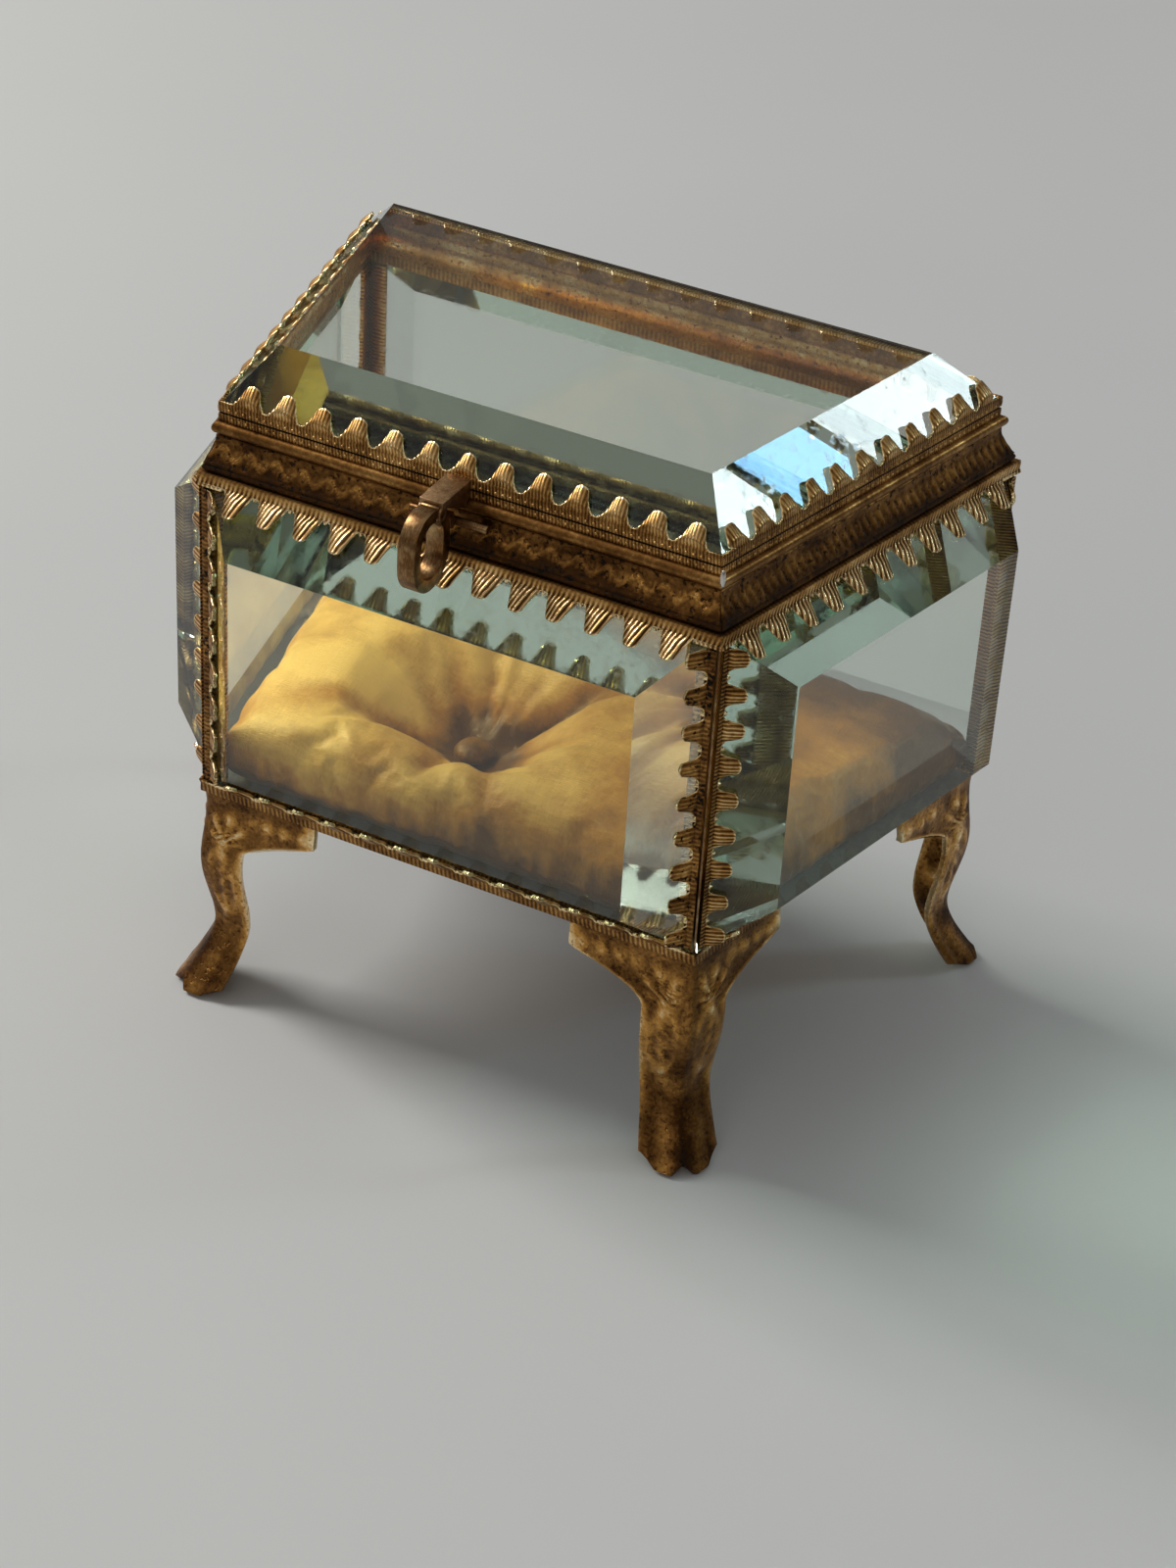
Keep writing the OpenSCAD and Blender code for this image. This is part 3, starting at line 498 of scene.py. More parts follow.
def grid(columns, rows, place):
    """A grid bent to shape: place takes a column and a row and gives its point, its place on the
    piece's map, how close it is to a cut edge and its relief with any painted shading."""
    bm = bmesh.new()
    nx, ny = len(columns) - 1, len(rows) - 1
    bmesh.ops.create_grid(bm, x_segments=nx, y_segments=ny, size=1.0)
    rim = bm.verts.layers.float.new("rim")
    relief_and_shading = bm.verts.layers.float.new("relief_and_shading")
    spots = {}
    maps = {}
    for vert in bm.verts:
        i = round((vert.co.x + 1) / 2 * nx)
        j = round((vert.co.y + 1) / 2 * ny)
        spots[vert] = (i, j)
    for vert, (i, j) in spots.items():
        point, on_map, rim_here, relief_and_shading_here = place(columns[i], rows[j])
        vert.co = point
        vert[rim] = rim_here
        vert[relief_and_shading] = relief_and_shading_here
        maps[vert] = on_map
    layer = bm.loops.layers.uv.new("UVMap")
    for face in bm.faces:
        for loop in face.loops:
            loop[layer].uv = maps[loop.vert]
    return bm, spots


# Across a tooth from side to side, and up it from valley to tip
TOOTH_SHARES = [-1.0, -0.93, -0.8, -0.6, -0.36, -0.12, 0.12, 0.36, 0.6, 0.8, 0.93, 1.0]
TOOTH_RISES = [0.0, 0.05, 0.12, 0.2, 0.3, 0.42, 0.55, 0.68, 0.8, 0.9, 0.96, 1.0]
ROOT = PITCH / 2 - 0.12
# No two stamped teeth are quite the same
LENGTH_VARIES = (-0.07, 0.05)
LEAN_VARIES = (-0.10, 0.10)
WIDTH_VARIES = (-0.08, 0.08)
# A tooth is wider at its foot, flares out to its roots up to this share of its height, and its
# corners are rounded off by this much below its tip
FOOT_WIDER = 1.1
FLARE_RISE = 0.48
TIP_ROUND = 0.62
FAR_PAST_END = 99.0


def tooth_columns(count, half_run, chance):
    """Columns of a row of teeth: (middle, share across, tooth number, root, length, lean, width).
    Teeth keep within half_run of the row's middle, and the plain metal past them has a column of
    its own at each end, which the mitre or the strip's end cuts short."""
    reach = (count - 1) / 2 * PITCH
    end_root = min(ROOT, half_run - reach)
    columns = [(-FAR_PAST_END, 0.0, -1, ROOT, 1.0, 0.0, 1.0)]
    for n in range(count):
        length = 1 + chance.uniform(*LENGTH_VARIES)
        lean = chance.uniform(*LEAN_VARIES)
        width = 1 + chance.uniform(*WIDTH_VARIES)
        for share in TOOTH_SHARES:
            at_end = (n == 0 and share < 0) or (n == count - 1 and share > 0)
            root = end_root if at_end else ROOT
            columns.append((n * PITCH - reach, share, n, root, length, lean, width))
    return columns + [(FAR_PAST_END, 0.0, count, ROOT, 1.0, 0.0, 1.0)]


def tooth_point(column, rise, teeth):
    """Place on a tooth: along the strip, past the fold, above the sheet, closeness to its edge."""
    middle, share, _, root, length, lean, width = column
    stem = teeth.width / 2 * width * (FOOT_WIDER - teeth.taper * rise)
    flare = clamp(1 - rise / (FLARE_RISE + math.copysign(teeth.skew, share)))
    half = stem + (root - stem) * (1 - math.sqrt(max(0.0, 1 - flare ** 2)))
    tip = teeth.tip * length
    tip -= TIP_ROUND * (1 - math.sqrt(max(0.0, 1 - share ** 2)))
    up = teeth.valley + rise * (tip - teeth.valley)
    along = middle + share * half + lean * rise * clamp(1 - flare)
    swell = teeth.swell * (1 - share ** 2) * clamp(rise / 0.25) * (1 - 0.45 * rise ** 3)
    near_side = clamp((abs(share) - 0.8) / 0.2)
    near_tip = clamp((rise - 0.92) / 0.08)
    return along, up, swell, max(near_side, near_tip)


def over_fold(d):
    """Splits a distance past the fold into (run up to it, run beyond it), rounding the fold off."""
    beyond = (d + math.hypot(d, FOLD_SOFTNESS)) / 2
    return d - beyond, beyond


def cut_between_teeth(bm, spots, columns, first_tooth_row):
    """Cuts the metal away between the teeth and past the last ones."""
    waste = []
    for face in bm.faces:
        places = [spots[vert] for vert in face.verts]
        in_teeth = min(j for _, j in places) >= first_tooth_row
        if in_teeth and len({columns[i][2] for i, _ in places}) > 1:
            waste.append(face)
    bmesh.ops.delete(bm, geom=waste, context="FACES")


def clear_run(k, o):
    """Half the run of a wall at outward offset o that stays clear of both its mitres."""
    return min(end_x(k, 1, o), -end_x(k, -1, o)) - END_CLEAR


def toothed_piece(name, k, columns, rows, place, shows, body, brass):
    """Bends a strip to shape, cuts its teeth free, sets it on its wall and gives it its thickness."""
    bm, spots = grid(columns, rows, place)
    cut_between_teeth(bm, spots, columns, len(rows) - len(TOOTH_RISES))
    face_outwards(bm, shows)
    bmesh.ops.transform(bm, matrix=on_wall(k), verts=bm.verts)
    piece = piece_from(bm, name + "_toothed", body, "gilt_brass", brass, name)
    thicken(piece, STRIP_T)


def wall_strip(name, k, edge_z, up, chance):
    """Channel along a wall's pane with its teeth folded over the bevel."""
    teeth = WALL_TEETH
    length = WALL_LEN[k] + WALL_STEP * sum(MITRE[k])
    teeth_from_ends = 7.8
    columns = tooth_columns(int((length - teeth_from_ends) / PITCH) + 1, clear_run(k, LIP_BACK), chance)
    fold = STRIP_BAND - FOLD_DROP
    web_middle = 0.6
    # A row is (outward offset, height from the edge, rise up the tooth or None)
    rows = [
        (LIP_BACK, INNER_LIP, None),
        (LIP_BACK, 0.0, None),
        (web_middle, 0.0, None),
        (WALL_STEP, 0.0, None),
        (WALL_STEP + BAND_SWELL, 0.35, None),
        (WALL_STEP, fold + teeth.valley, None),
    ]
    rows += [(0.0, 0.0, rise) for rise in TOOTH_RISES]

    def place(column, row):
        o, h, rise = row
        along, past, swell, edge = tooth_point(column, rise or 0.0, teeth)
        if rise is None:
            edge = 0.0
            v = h if o > 1 else o - WALL_STEP
            # Painted shade: the band is darker towards the pane's edge, and the inner lip darker still
            relief_and_shading = 0.4 + 0.1 * clamp(h / 0.6) if o > 0 else SHADED
        else:
            before, beyond = over_fold(past)
            o = WALL_STEP + OUT_PART * beyond + RUN_PART * swell
            h = fold + before + RUN_PART * beyond - OUT_PART * swell
            v = fold + past
            relief_and_shading = PLAIN + 0.4 * swell / teeth.swell
        along = clamp(along, end_x(k, -1, o, FIT), end_x(k, 1, o, FIT))
        return Vector((along, -o, edge_z + up * h)), (along, v), edge, relief_and_shading

    brass = WALL_BRASS if up < 0 else FOOT_STRIP_BRASS
    toothed_piece(name, k, columns, rows, place, shows_outside, "box", brass)


def post_strip(name, k, e, brass, chance):
    """Channel up a wall's end, its web along the mitre and its teeth over the upright bevel."""
    teeth = POST_TEETH
    g = CORNER_SLOT / 2
    leg_inner = WALL_STEP - STRIP_T
    band_x = end_x(k, e, WALL_STEP, g + STRIP_BAND)
    leg_run = STRIP_BAND - FOLD_DROP - SLOT_SIDE + g + teeth.valley
    corner_x = band_x + e * FOLD_DROP
    middle_z = (LEG_H + WALL_TOP) / 2
    # The wall strips' folded bands stand above and below
    half_z = (WALL_TOP - LEG_H) / 2 - (STRIP_BAND + RUN_PART * 0.28)
    columns = tooth_columns(POST_TEETH_COUNT, half_z - 0.05, chance)
    # A row is (place along the wall, outward offset, rise up the tooth or None, place on the map)
    rows = [
        (end_x(k, e, LIP_BACK, SLOT_SIDE + INNER_LIP), LIP_BACK, None, -4.0),
        (end_x(k, e, LIP_BACK, SLOT_SIDE), LIP_BACK, None, -2.5),
        (end_x(k, e, leg_inner, SLOT_SIDE), leg_inner, None, -0.4),
        (end_x(k, e, WALL_STEP, SLOT_SIDE), WALL_STEP, None, 0.0),
        (end_x(k, e, WALL_STEP, SLOT_SIDE + leg_run / 2), WALL_STEP + POST_SWELL, None, leg_run / 2),
        (end_x(k, e, WALL_STEP, SLOT_SIDE + leg_run), WALL_STEP, None, leg_run),
    ]
    rows += [(0.0, 0.0, rise, 0.0) for rise in TOOTH_RISES]

    def place(column, row):
        x, o, rise, v = row
        along, past, swell, edge = tooth_point(column, rise or 0.0, teeth)
        if rise is None:
            edge = 0.0
            # Painted light: the inner lip is painted bright, as if lit through the glass
            relief_and_shading = PAINTED_LIT if o < 0 else PLAIN
        else:
            before, beyond = over_fold(past)
            x = corner_x - e * (before + RUN_PART * beyond - OUT_PART * swell)
            o = WALL_STEP + OUT_PART * beyond + RUN_PART * swell
            v = leg_run - teeth.valley + past
            relief_and_shading = 0.45 + 0.45 * swell / teeth.swell
        along = clamp(along, -half_z, half_z)
        return Vector((x, -o, middle_z + along)), (along, v), edge, relief_and_shading

    toothed_piece(name, k, columns, rows, place, shows_outside, "box", brass)


def lid_strip(name, k, chance):
    """Angle strip round the lid's pane: a flange under it, a grooved edge, teeth over the bevel."""
    teeth = LID_TEETH
    teeth_from_ends = 4.4
    count = int((WALL_LEN[k] - teeth_from_ends) / PITCH) + 1
    columns = tooth_columns(count, clear_run(k, -LID_FLANGE), chance)
    fold = LID_LAND_Z + LID_FOLD_RISE
    groove = LID_STRIP_Z + GROOVE_UP
    # A row is (outward offset, level, rise up the tooth or None)
    rows = [
        (-LID_FLANGE, LID_STRIP_Z, None),
        (0.0, LID_STRIP_Z, None),
        (0.02, LID_STRIP_Z + 0.4, None),
        (0.0, groove - 0.13, None),
        (-GROOVE_DEEP, groove - 0.04, None),
        (-GROOVE_DEEP, groove + 0.04, None),
        (0.0, groove + 0.13, None),
        (BAND_SWELL, groove + 0.6, None),
        (0.0, fold - 0.12, None),
    ]
    rows += [(0.0, 0.0, rise) for rise in TOOTH_RISES]

    def place(column, row):
        o, z, rise = row
        along, past, swell, edge = tooth_point(column, rise or 0.0, teeth)
        if rise is None:
            edge = 0.0
            v = z - LID_STRIP_Z if o > -1 else -2.0
            if o < -1:
                # Painted light: the flange under the pane is painted bright, as if lit through the glass
                relief_and_shading = PAINTED_LIT
            elif o < -0.1:
                relief_and_shading = HOLLOW
            else:
                relief_and_shading = 0.42
        else:
            before, beyond = over_fold(past)
            o = -RUN_PART * beyond + OUT_PART * swell
            z = fold + before + OUT_PART * beyond + RUN_PART * swell
            v = fold - LID_STRIP_Z + past
            relief_and_shading = PLAIN + 0.4 * swell / teeth.swell
        along = clamp(along, end_x(k, -1, o, FIT), end_x(k, 1, o, FIT))
        return Vector((along, -o, z)), (along, v), edge, relief_and_shading

    toothed_piece(name, k, columns, rows, place, lambda face: -face.normal.y, "lid", LID_BRASS)


LID_BEAD_R = 0.2
LID_BEAD_STEP = 0.82
LID_BEADS_UP = (1.42, 0.45)


def lid_beading(k):
    """Two rows of tiny beads along the lid strip, one either side of its groove."""
    bm = bmesh.new()
    count = int((WALL_LEN[k] - 1.2) / LID_BEAD_STEP)
    # A bead is a little longer than it is high
    bead = Matrix.Diagonal((1.1, 1.0, 1.0, 1.0))
    for row, up in enumerate(LID_BEADS_UP):
        for n in range(count):
            x = (n - (count - 1) / 2) * LID_BEAD_STEP + 0.4 * LID_BEAD_STEP * row
            place = Matrix.Translation((x, -0.02, LID_STRIP_Z + up)) @ bead
            bmesh.ops.create_icosphere(bm, subdivisions=1, radius=LID_BEAD_R, matrix=place)
    bmesh.ops.transform(bm, matrix=on_wall(k), verts=bm.verts)
    piece_from(bm, "lid_beading_" + WALLS[k], "lid", "gilt_brass", BEAD_BRASS)


# Rim

RIM_IN = 1.2
RIM_OUT = 1.42
BEAD_R = 0.44
RIM_LIP = 0.2
COVE_FOOT = WALL_TOP + FIT + 2 * BEAD_R
COVE_ROWS = 15
STAMP_STEP = 0.22
STAMP_HEIGHT = 0.24
VINE_WAVE = 3.1
VINE_TALL = 2.9
VINE_SWAY = 0.62
LEAF_STEP = 1.15


def scroll(u, v):
    """Relief of a running vine: a waving stem with a curl and a bud in each of its bends."""
    y = (v - 0.45) * VINE_TALL
    stem = bump_at(y, VINE_SWAY * math.sin(2 * math.pi * u / VINE_WAVE), 0.2)
    bend = VINE_WAVE / 2
    n = math.floor(u / bend)
    x = u - (n + 0.5) * bend
    side = 1 if n % 2 == 0 else -1
    far = math.hypot(x, y + 0.2 * side)
    curl = 0.9 * bump_at(far, 0.55, 0.17) * clamp(0.9 + 1.3 * math.sin(math.atan2(y, x) * side + 0.6))
    bud = 0.8 * bump_at(far, 0.0, 0.24)
    return clamp(max(stem, curl, bud))


def leaves(u, v):
    """Relief of close slanting leaves."""
    phase = u / LEAF_STEP + 0.9 * v
    ridge = 0.5 + 0.5 * math.cos(2 * math.pi * phase)
    vein = 0.35 * clamp(math.cos(4 * math.pi * phase))
    return clamp(ridge ** 1.5 - vein) * clamp(2.2 * bump_at(v, 0.42, 0.26) - 0.3)


def rim_band(k):
    """Coved rim stamped with a running ornament between its foot bead and the lid."""
    steps = int(WALL_LEN[k] / STAMP_STEP)
    columns = [2 * n / steps - 1 for n in range(steps + 1)]
    bead_o = RIM_OUT - BEAD_R
    bead_z = WALL_TOP + FIT + BEAD_R
    # A row is (outward offset, level, share up the cove or None)
    rows = [(-RIM_IN, WALL_TOP + FIT, None), (bead_o, WALL_TOP + FIT, None)]
    for turn in (-60, -30, 0, 30, 60):
        a = math.radians(turn)
        rows.append((bead_o + BEAD_R * math.cos(a), bead_z + BEAD_R * math.sin(a), None))
    for n in range(COVE_ROWS):
        s = n / (COVE_ROWS - 1)
        o = RIM_LIP + (RIM_OUT - BEAD_R / 4 - RIM_LIP) * (1 - s) ** 2
        rows.append((o, COVE_FOOT + s * (RIM_TOP - COVE_FOOT), s))
    rows += [(-RIM_IN, RIM_TOP, None), (-RIM_IN, WALL_TOP + FIT, None)]
    ornament = scroll if WALLS[k] == "front" else leaves

    def place(column, row):
        o, z, s = row
        along = column * end_x(k, 1, o, FIT) if column > 0 else -column * end_x(k, -1, o, FIT)
        # Painted light and shade: the inside is painted bright, as if lit, and the foot bead painted dark,
        # as the shade under the rim
        relief_and_shading = 0.75 if o < 0 else -0.4
        if s is not None:
            pattern = ornament(along, s)
            stamp = STAMP_HEIGHT * pattern * clamp(9 * s) * clamp(9 * (1 - s))
            # Painted shade: the cove darkens towards its foot
            relief_and_shading = 0.6 * pattern - 0.3 * clamp(1.6 - 4 * s)
            o += stamp * 0.8
            z += stamp * 0.5 * clamp(6 * (1 - s))
        return Vector((along, -o, z)), (along, z), 0.0, relief_and_shading

    bm, _ = grid(columns, rows, place)
    bmesh.ops.remove_doubles(bm, verts=bm.verts, dist=0.001)
    ends = [edge for edge in bm.edges if edge.is_boundary]
    bmesh.ops.holes_fill(bm, edges=ends, sides=0)
    bmesh.ops.recalc_face_normals(bm, faces=bm.faces)
    bmesh.ops.transform(bm, matrix=on_wall(k), verts=bm.verts)
    name = "rim_band_" + WALLS[k]
    piece_from(bm, name + "_stamped", "box", "gilt_brass", RIM_BRASS, name)


# Legs

LEG_T = 0.7
LEG_W = 5.8
LEG_FOLD = 0.9
LEG_RELIEF = 0.38
WING_W = 14.2
WING_H = 7.0
KNEE_OUT = 0.8
ANKLE_IN = 0.8
TOE_KICK = 4.5
KICK_H = 9.0
TOE_NOTCH = 1.1
# The kicked toe's under side comes this far below its face
TOE_UNDER = 0.46
# Middles of the leg's ornament, as distance from the fold and level
CARTOUCHE = (2.9, 14.6)
SHELL = (3.2, 21.6)
WING_Z = 23.6
LEG_STEPS_ACROSS = 46
LEG_STEPS_UP = 72


def leaf_reach(z):
    """Half-length of the folded leg's outline at a level."""
    wing = clamp((z - LEG_H + WING_H) / (WING_H - 3))
    ankle = bump_at(z / LEG_H, 0.25, 0.2)
    return LEG_W * (1 - 0.15 * ankle) + (WING_W - LEG_W) * wing ** 1.8


def leg_shift(z):
    """How far a leg stands out at a level: a knee, an ankle and a kicked toe."""
    knee = KNEE_OUT * bump_at(z / LEG_H, 0.66, 0.17)
    ankle = ANKLE_IN * bump_at(z / LEG_H, 0.33, 0.15)
    return knee - ankle + TOE_KICK * max(0.0, 1 - z / KICK_H) ** 1.8


def lobe_z(t):
    """The toe's two lobes touch the floor, with a notch at the fold and lifted ends."""
    return TOE_NOTCH * max(0.0, 1.3 * math.cos(math.pi * t) ** 2 - 0.3)


def leg_relief(s, z):
    """Relief of a leg's leaf: a cartouche with a veined leaf in it, scrolls over it, a raised edge."""
    side = abs(s)
    far = math.hypot((side - CARTOUCHE[0]) / 1.75, (z - CARTOUCHE[1]) / 4.1)
    ring = 0.55 * bump_at(far, 1.0, 0.22)
    vein = bump_at(side - 2.6 - 0.9 * math.sin((z - 11) / 3.4), 0.0, 0.5)
    vein *= clamp(1.5 - abs(z - CARTOUCHE[1]) / 5)
    leaflet = math.cos(2 * math.pi * (z - 0.9 * side) / 1.7) * clamp(1.2 - 1.1 * far)
    leaf = 0.5 * vein + 0.22 * leaflet
    shell_far = math.hypot((side - SHELL[0]) / 2.6, (z - SHELL[1]) / 2.3)
    turn = math.atan2(z - 20.0, side - SHELL[0])
    shell = (0.55 + 0.45 * math.cos(9 * turn)) * bump_at(shell_far, 0.55, 0.45)
    wing = bump_at(z, WING_Z, 0.9) * clamp((side - 5.5) / 2)
    wing *= 0.6 + 0.4 * math.cos(2 * math.pi * side / 2.1)
    edge = 0.5 * bump_at(side, leaf_reach(z) - 0.5, 0.5)
    toes = 0.8 * bump_at(side, 2.6, 1.5) * clamp((7.5 - z) / 3)
    groove = 0.8 * bump_at(side, 0.9, 0.5) * clamp((z - 7) / 3)
    return clamp(ring + leaf + shell + wing + edge + toes - groove)


def foot(i, name):
    """A leg stamped from one sheet and folded round its corner."""
    columns = [2 * n / LEG_STEPS_ACROSS - 1 for n in range(LEG_STEPS_ACROSS + 1)]
    rows = [n / LEG_STEPS_UP for n in range(LEG_STEPS_UP + 1)]
    corners = plan(WALL_STEP)
    here = corners[i]
    ahead = (corners[(i + 1) % 4] - here).normalized()
    behind = (corners[(i + 3) % 4] - here).normalized()
    outwards = (here - plan(WALL_STEP - 1)[i]).normalized()
    top = LEG_H - FIT

    def place(column, h):
        # Columns lie closer together near the fold
        t = math.copysign(abs(column) ** 1.3, column)
        low = lobe_z(t) + TOE_UNDER
        z = low + (top - low) * h
        s = t * leaf_reach(top * h)
        bend = math.hypot(s, LEG_FOLD)
        p = here + ahead * (bend - s) / 2 + behind * (bend + s) / 2 + outwards * leg_shift(z)
        rim = 0.45 * clamp((abs(column) - 0.93) / 0.07)
        # Toes are browner than the leaf above them
        relief_and_shading = leg_relief(s, z) - 0.5 * clamp((9 - z) / 4)
        return Vector((p.x, p.y, z)), (s, z), rim, relief_and_shading

    bm, _ = grid(columns, rows, place)
    out = outwards.to_3d()
    face_outwards(bm, lambda face: face.normal.dot(out))
    relief_and_shading = bm.verts.layers.float["relief_and_shading"]
    for vert in bm.verts:
        z = vert.co.z
        stamp = vert.normal * LEG_RELIEF * (vert[relief_and_shading] - 0.45)
        vert.co += stamp * clamp((top - z) / 1.5) * clamp(z / 2)
    piece = piece_from(bm, name + "_stamped", "box", "foot_brass", FOOT_BRASS, name)
    thicken(piece, LEG_T, edge=0.1)


# Pad

# The button's place, from above
TUFT = Vector((-5.0, Y_SHIFT - 5.5))
BUTTON_R = 2.3
BUTTON_SEAT = 2.6
PUCKERS = 12
# The cloth is simulated at this many times its size; its voxels are in metres at that size
SIM_SCALE = 8.0
SIM_VOXEL = 0.0052
SIM_FRAMES = 20
MOST_MOVE = 1.5
# Room kept to the walls, more at the sewn edge, and how far up the pad is widest and highest
PAD_GAP = 0.7
PAD_TUCK = 1.8
PAD_WIDEST = 3.6
PAD_HIGHEST = 10.6
# The button presses the satin round it down to this height
DIMPLE_Z = 2.3
GATHER_DEEP = 0.35


def puffed_pad():
    """The satin pad: blown up by a cloth simulation, held down under its button and at its seam."""
    bm = bmesh.new()
    bm.from_mesh(nodes["cushion"].data)
    bmesh.ops.remove_doubles(bm, verts=bm.verts, dist=0.00001)
    bmesh.ops.scale(bm, vec=(SIM_SCALE,) * 3, verts=bm.verts)
    pad = into_scene("satin_pad", mesh_from(bm, "satin_pad"))
    bpy.context.view_layer.objects.active = pad
    skin = pad.modifiers.new("skin", "REMESH")
    skin.mode = "VOXEL"
    skin.voxel_size = SIM_VOXEL
    settle_modifiers(pad)
    blow_up(pad)
    shape_pad(pad)
    return pad


def settle_modifiers(piece):
    """Applies a piece's modifiers, by taking the mesh that they give."""
    graph = bpy.context.evaluated_depsgraph_get()
    mesh = bpy.data.meshes.new_from_object(piece.evaluated_get(graph), depsgraph=graph)
    piece.modifiers.clear()
    piece.data = mesh


def blow_up(pad):
    """Runs the cloth for a few frames, then keeps each point within a small move."""
    held = pad.vertex_groups.new(name="held")
    start = [vert.co.copy() for vert in pad.data.vertices]
    low = min(co.z for co in start)
    for n, co in enumerate(start):
        at = Vector((co.x, co.y)) / (MM * SIM_SCALE)
        tuft = clamp(1.6 - (at - TUFT).length / 2.2)
        seam = clamp(1.4 - (co.z - low) / (MM * SIM_SCALE * 1.5))
        held.add([n], max(tuft, seam), "REPLACE")
    cloth = pad.modifiers.new("cloth", "CLOTH")
    settings = cloth.settings
    settings.vertex_group_mass = "held"
    settings.quality = 6
    settings.mass = 0.25
    settings.use_pressure = True
    settings.uniform_pressure_force = 4.0
    settings.tension_stiffness = 12
    settings.compression_stiffness = 12
    settings.bending_stiffness = 0.4
    settings.shrink_min = -0.06
    settings.effector_weights.gravity = 0
    cloth.collision_settings.use_collision = False
    cloth.collision_settings.use_self_collision = False
    scene = bpy.context.scene
    cloth.point_cache.frame_start = 1
    cloth.point_cache.frame_end = SIM_FRAMES
    for number in range(1, SIM_FRAMES + 1):
        scene.frame_set(number)
    settle_modifiers(pad)
    scene.frame_set(1)
    most = MOST_MOVE * MM * SIM_SCALE
    for vert, before in zip(pad.data.vertices, start):
        move = vert.co - before
        if move.length > most:
            vert.co = before + move.normalized() * most


# Folds that run out from the button: (direction in degrees, length, width, depth), and a
# fold of negative depth is a ridge
FOLDS = [
    (96, 24, 0.8, -1.1), (104, 22, 1.0, 0.9), (40, 27, 1.9, 2.1), (66, 15, 0.9, 0.7),
    (132, 18, 1.3, 1.3), (158, 17, 1.1, 0.7), (204, 25, 1.7, 1.9), (238, 13, 0.9, 0.8),
    (268, 14, 1.1, 0.9), (304, 24, 1.5, 1.9), (326, 22, 1.2, 1.2), (352, 15, 0.9, 0.7),
]


def fold_press(at):
    """How deep the folds lie at a place beside the button."""
    press = 0.0
    for degrees, length, width, depth in FOLDS:
        a = math.radians(degrees)
        run = at.x * math.cos(a) + at.y * math.sin(a)
        aside = at.y * math.cos(a) - at.x * math.sin(a)
        if 0 < run < length:
            wide = width * (0.5 + run / length)
            press += depth * bump_at(aside, 0.0, wide) * min(1.0, run / 3) * (1 - run / length)
    return press


def gathers(at, z):
    """Small folds along the sewn edge, at a place beside the button: 0 on one, 1 between two."""
    along = at.x + at.y
    gather = 0.5 + 0.5 * math.sin(2.1 * along + 1.5 * math.sin(0.8 * along))
    return gather * clamp((PAD_Z + 6.5 - z) / 3.5)


def painted_shade_at(at, z, gather):
    """Painted shade on the satin: low down, to the right, at the back right, between the gathers of the
    sewn edge and at its foot.
    """
    darkness = clamp((PAD_Z + 8.5 - z) / 5) * clamp(0.8 - at.y / 30 + at.x / 50)
    darkness = 0.42 * darkness + 0.42 * clamp((at.x - 2) / 20) + 0.22 * gather
    darkness += 0.5 * clamp((at.y - 10) / 6) * clamp(at.x / 6)
    return darkness + 0.9 * clamp((PAD_Z + 2.4 - z) / 2)


def draw_in(p):
    """Moves a point of the pad in from the walls, most of all down at its sewn edge."""
    down = clamp((PAD_Z + PAD_WIDEST - p.z) / PAD_WIDEST)
    room = LIP_BACK - PAD_GAP - PAD_TUCK * down ** 2
    for k in range(4):
        frame_of_wall = on_wall(k)
        inwards = frame_of_wall.to_3x3() @ Vector((0, 1, 0))
        excess = -room - inwards.dot(p - frame_of_wall.translation)
        p += inwards * (excess + math.hypot(excess, 0.3)) / 2


def shape_pad(pad):
    """Brings the pad back to its size, presses the sewn folds in and keeps it in its room."""
    mesh = pad.data
    crease = mesh.attributes.new("crease", "FLOAT", "POINT")
    for n, vert in enumerate(mesh.vertices):
        p = vert.co / (MM * SIM_SCALE)
        at = Vector((p.x, p.y)) - TUFT
        press = fold_press(at)
        # Folds fade out towards the pad's underside
        p.z -= press * clamp((p.z - PAD_Z - 2.0) / 3.0)
        p.z = min(p.z, PAD_Z + PAD_HIGHEST)
        if at.length < BUTTON_R + 0.6:
            p.z = min(p.z, PAD_Z + DIMPLE_Z)
        p.z = max(p.z, PAD_Z)
        draw_in(p)
        gather = gathers(at, p.z)
        p.x -= GATHER_DEEP * gather * at.x / max(at.length, 1.0)
        p.y -= GATHER_DEEP * gather * at.y / max(at.length, 1.0)
        # Painted shade, which darkens the satin in its folds, round the button, low down and to the right
        under_button = clamp(1.25 - at.length / 5.5)
        darkness = painted_shade_at(at, p.z, gather)
        crease.data[n].value = clamp(0.45 * press + 0.9 * under_button + darkness)
        vert.co = p * MM
    for face in mesh.polygons:
        face.use_smooth = True
    mesh.materials.clear()
    mesh.materials.append(SATIN)
    smooth_once(pad)


def smooth_once(piece):
    fine = piece.modifiers.new("fine", "SUBSURF")
    fine.levels = 1
    fine.render_levels = 1


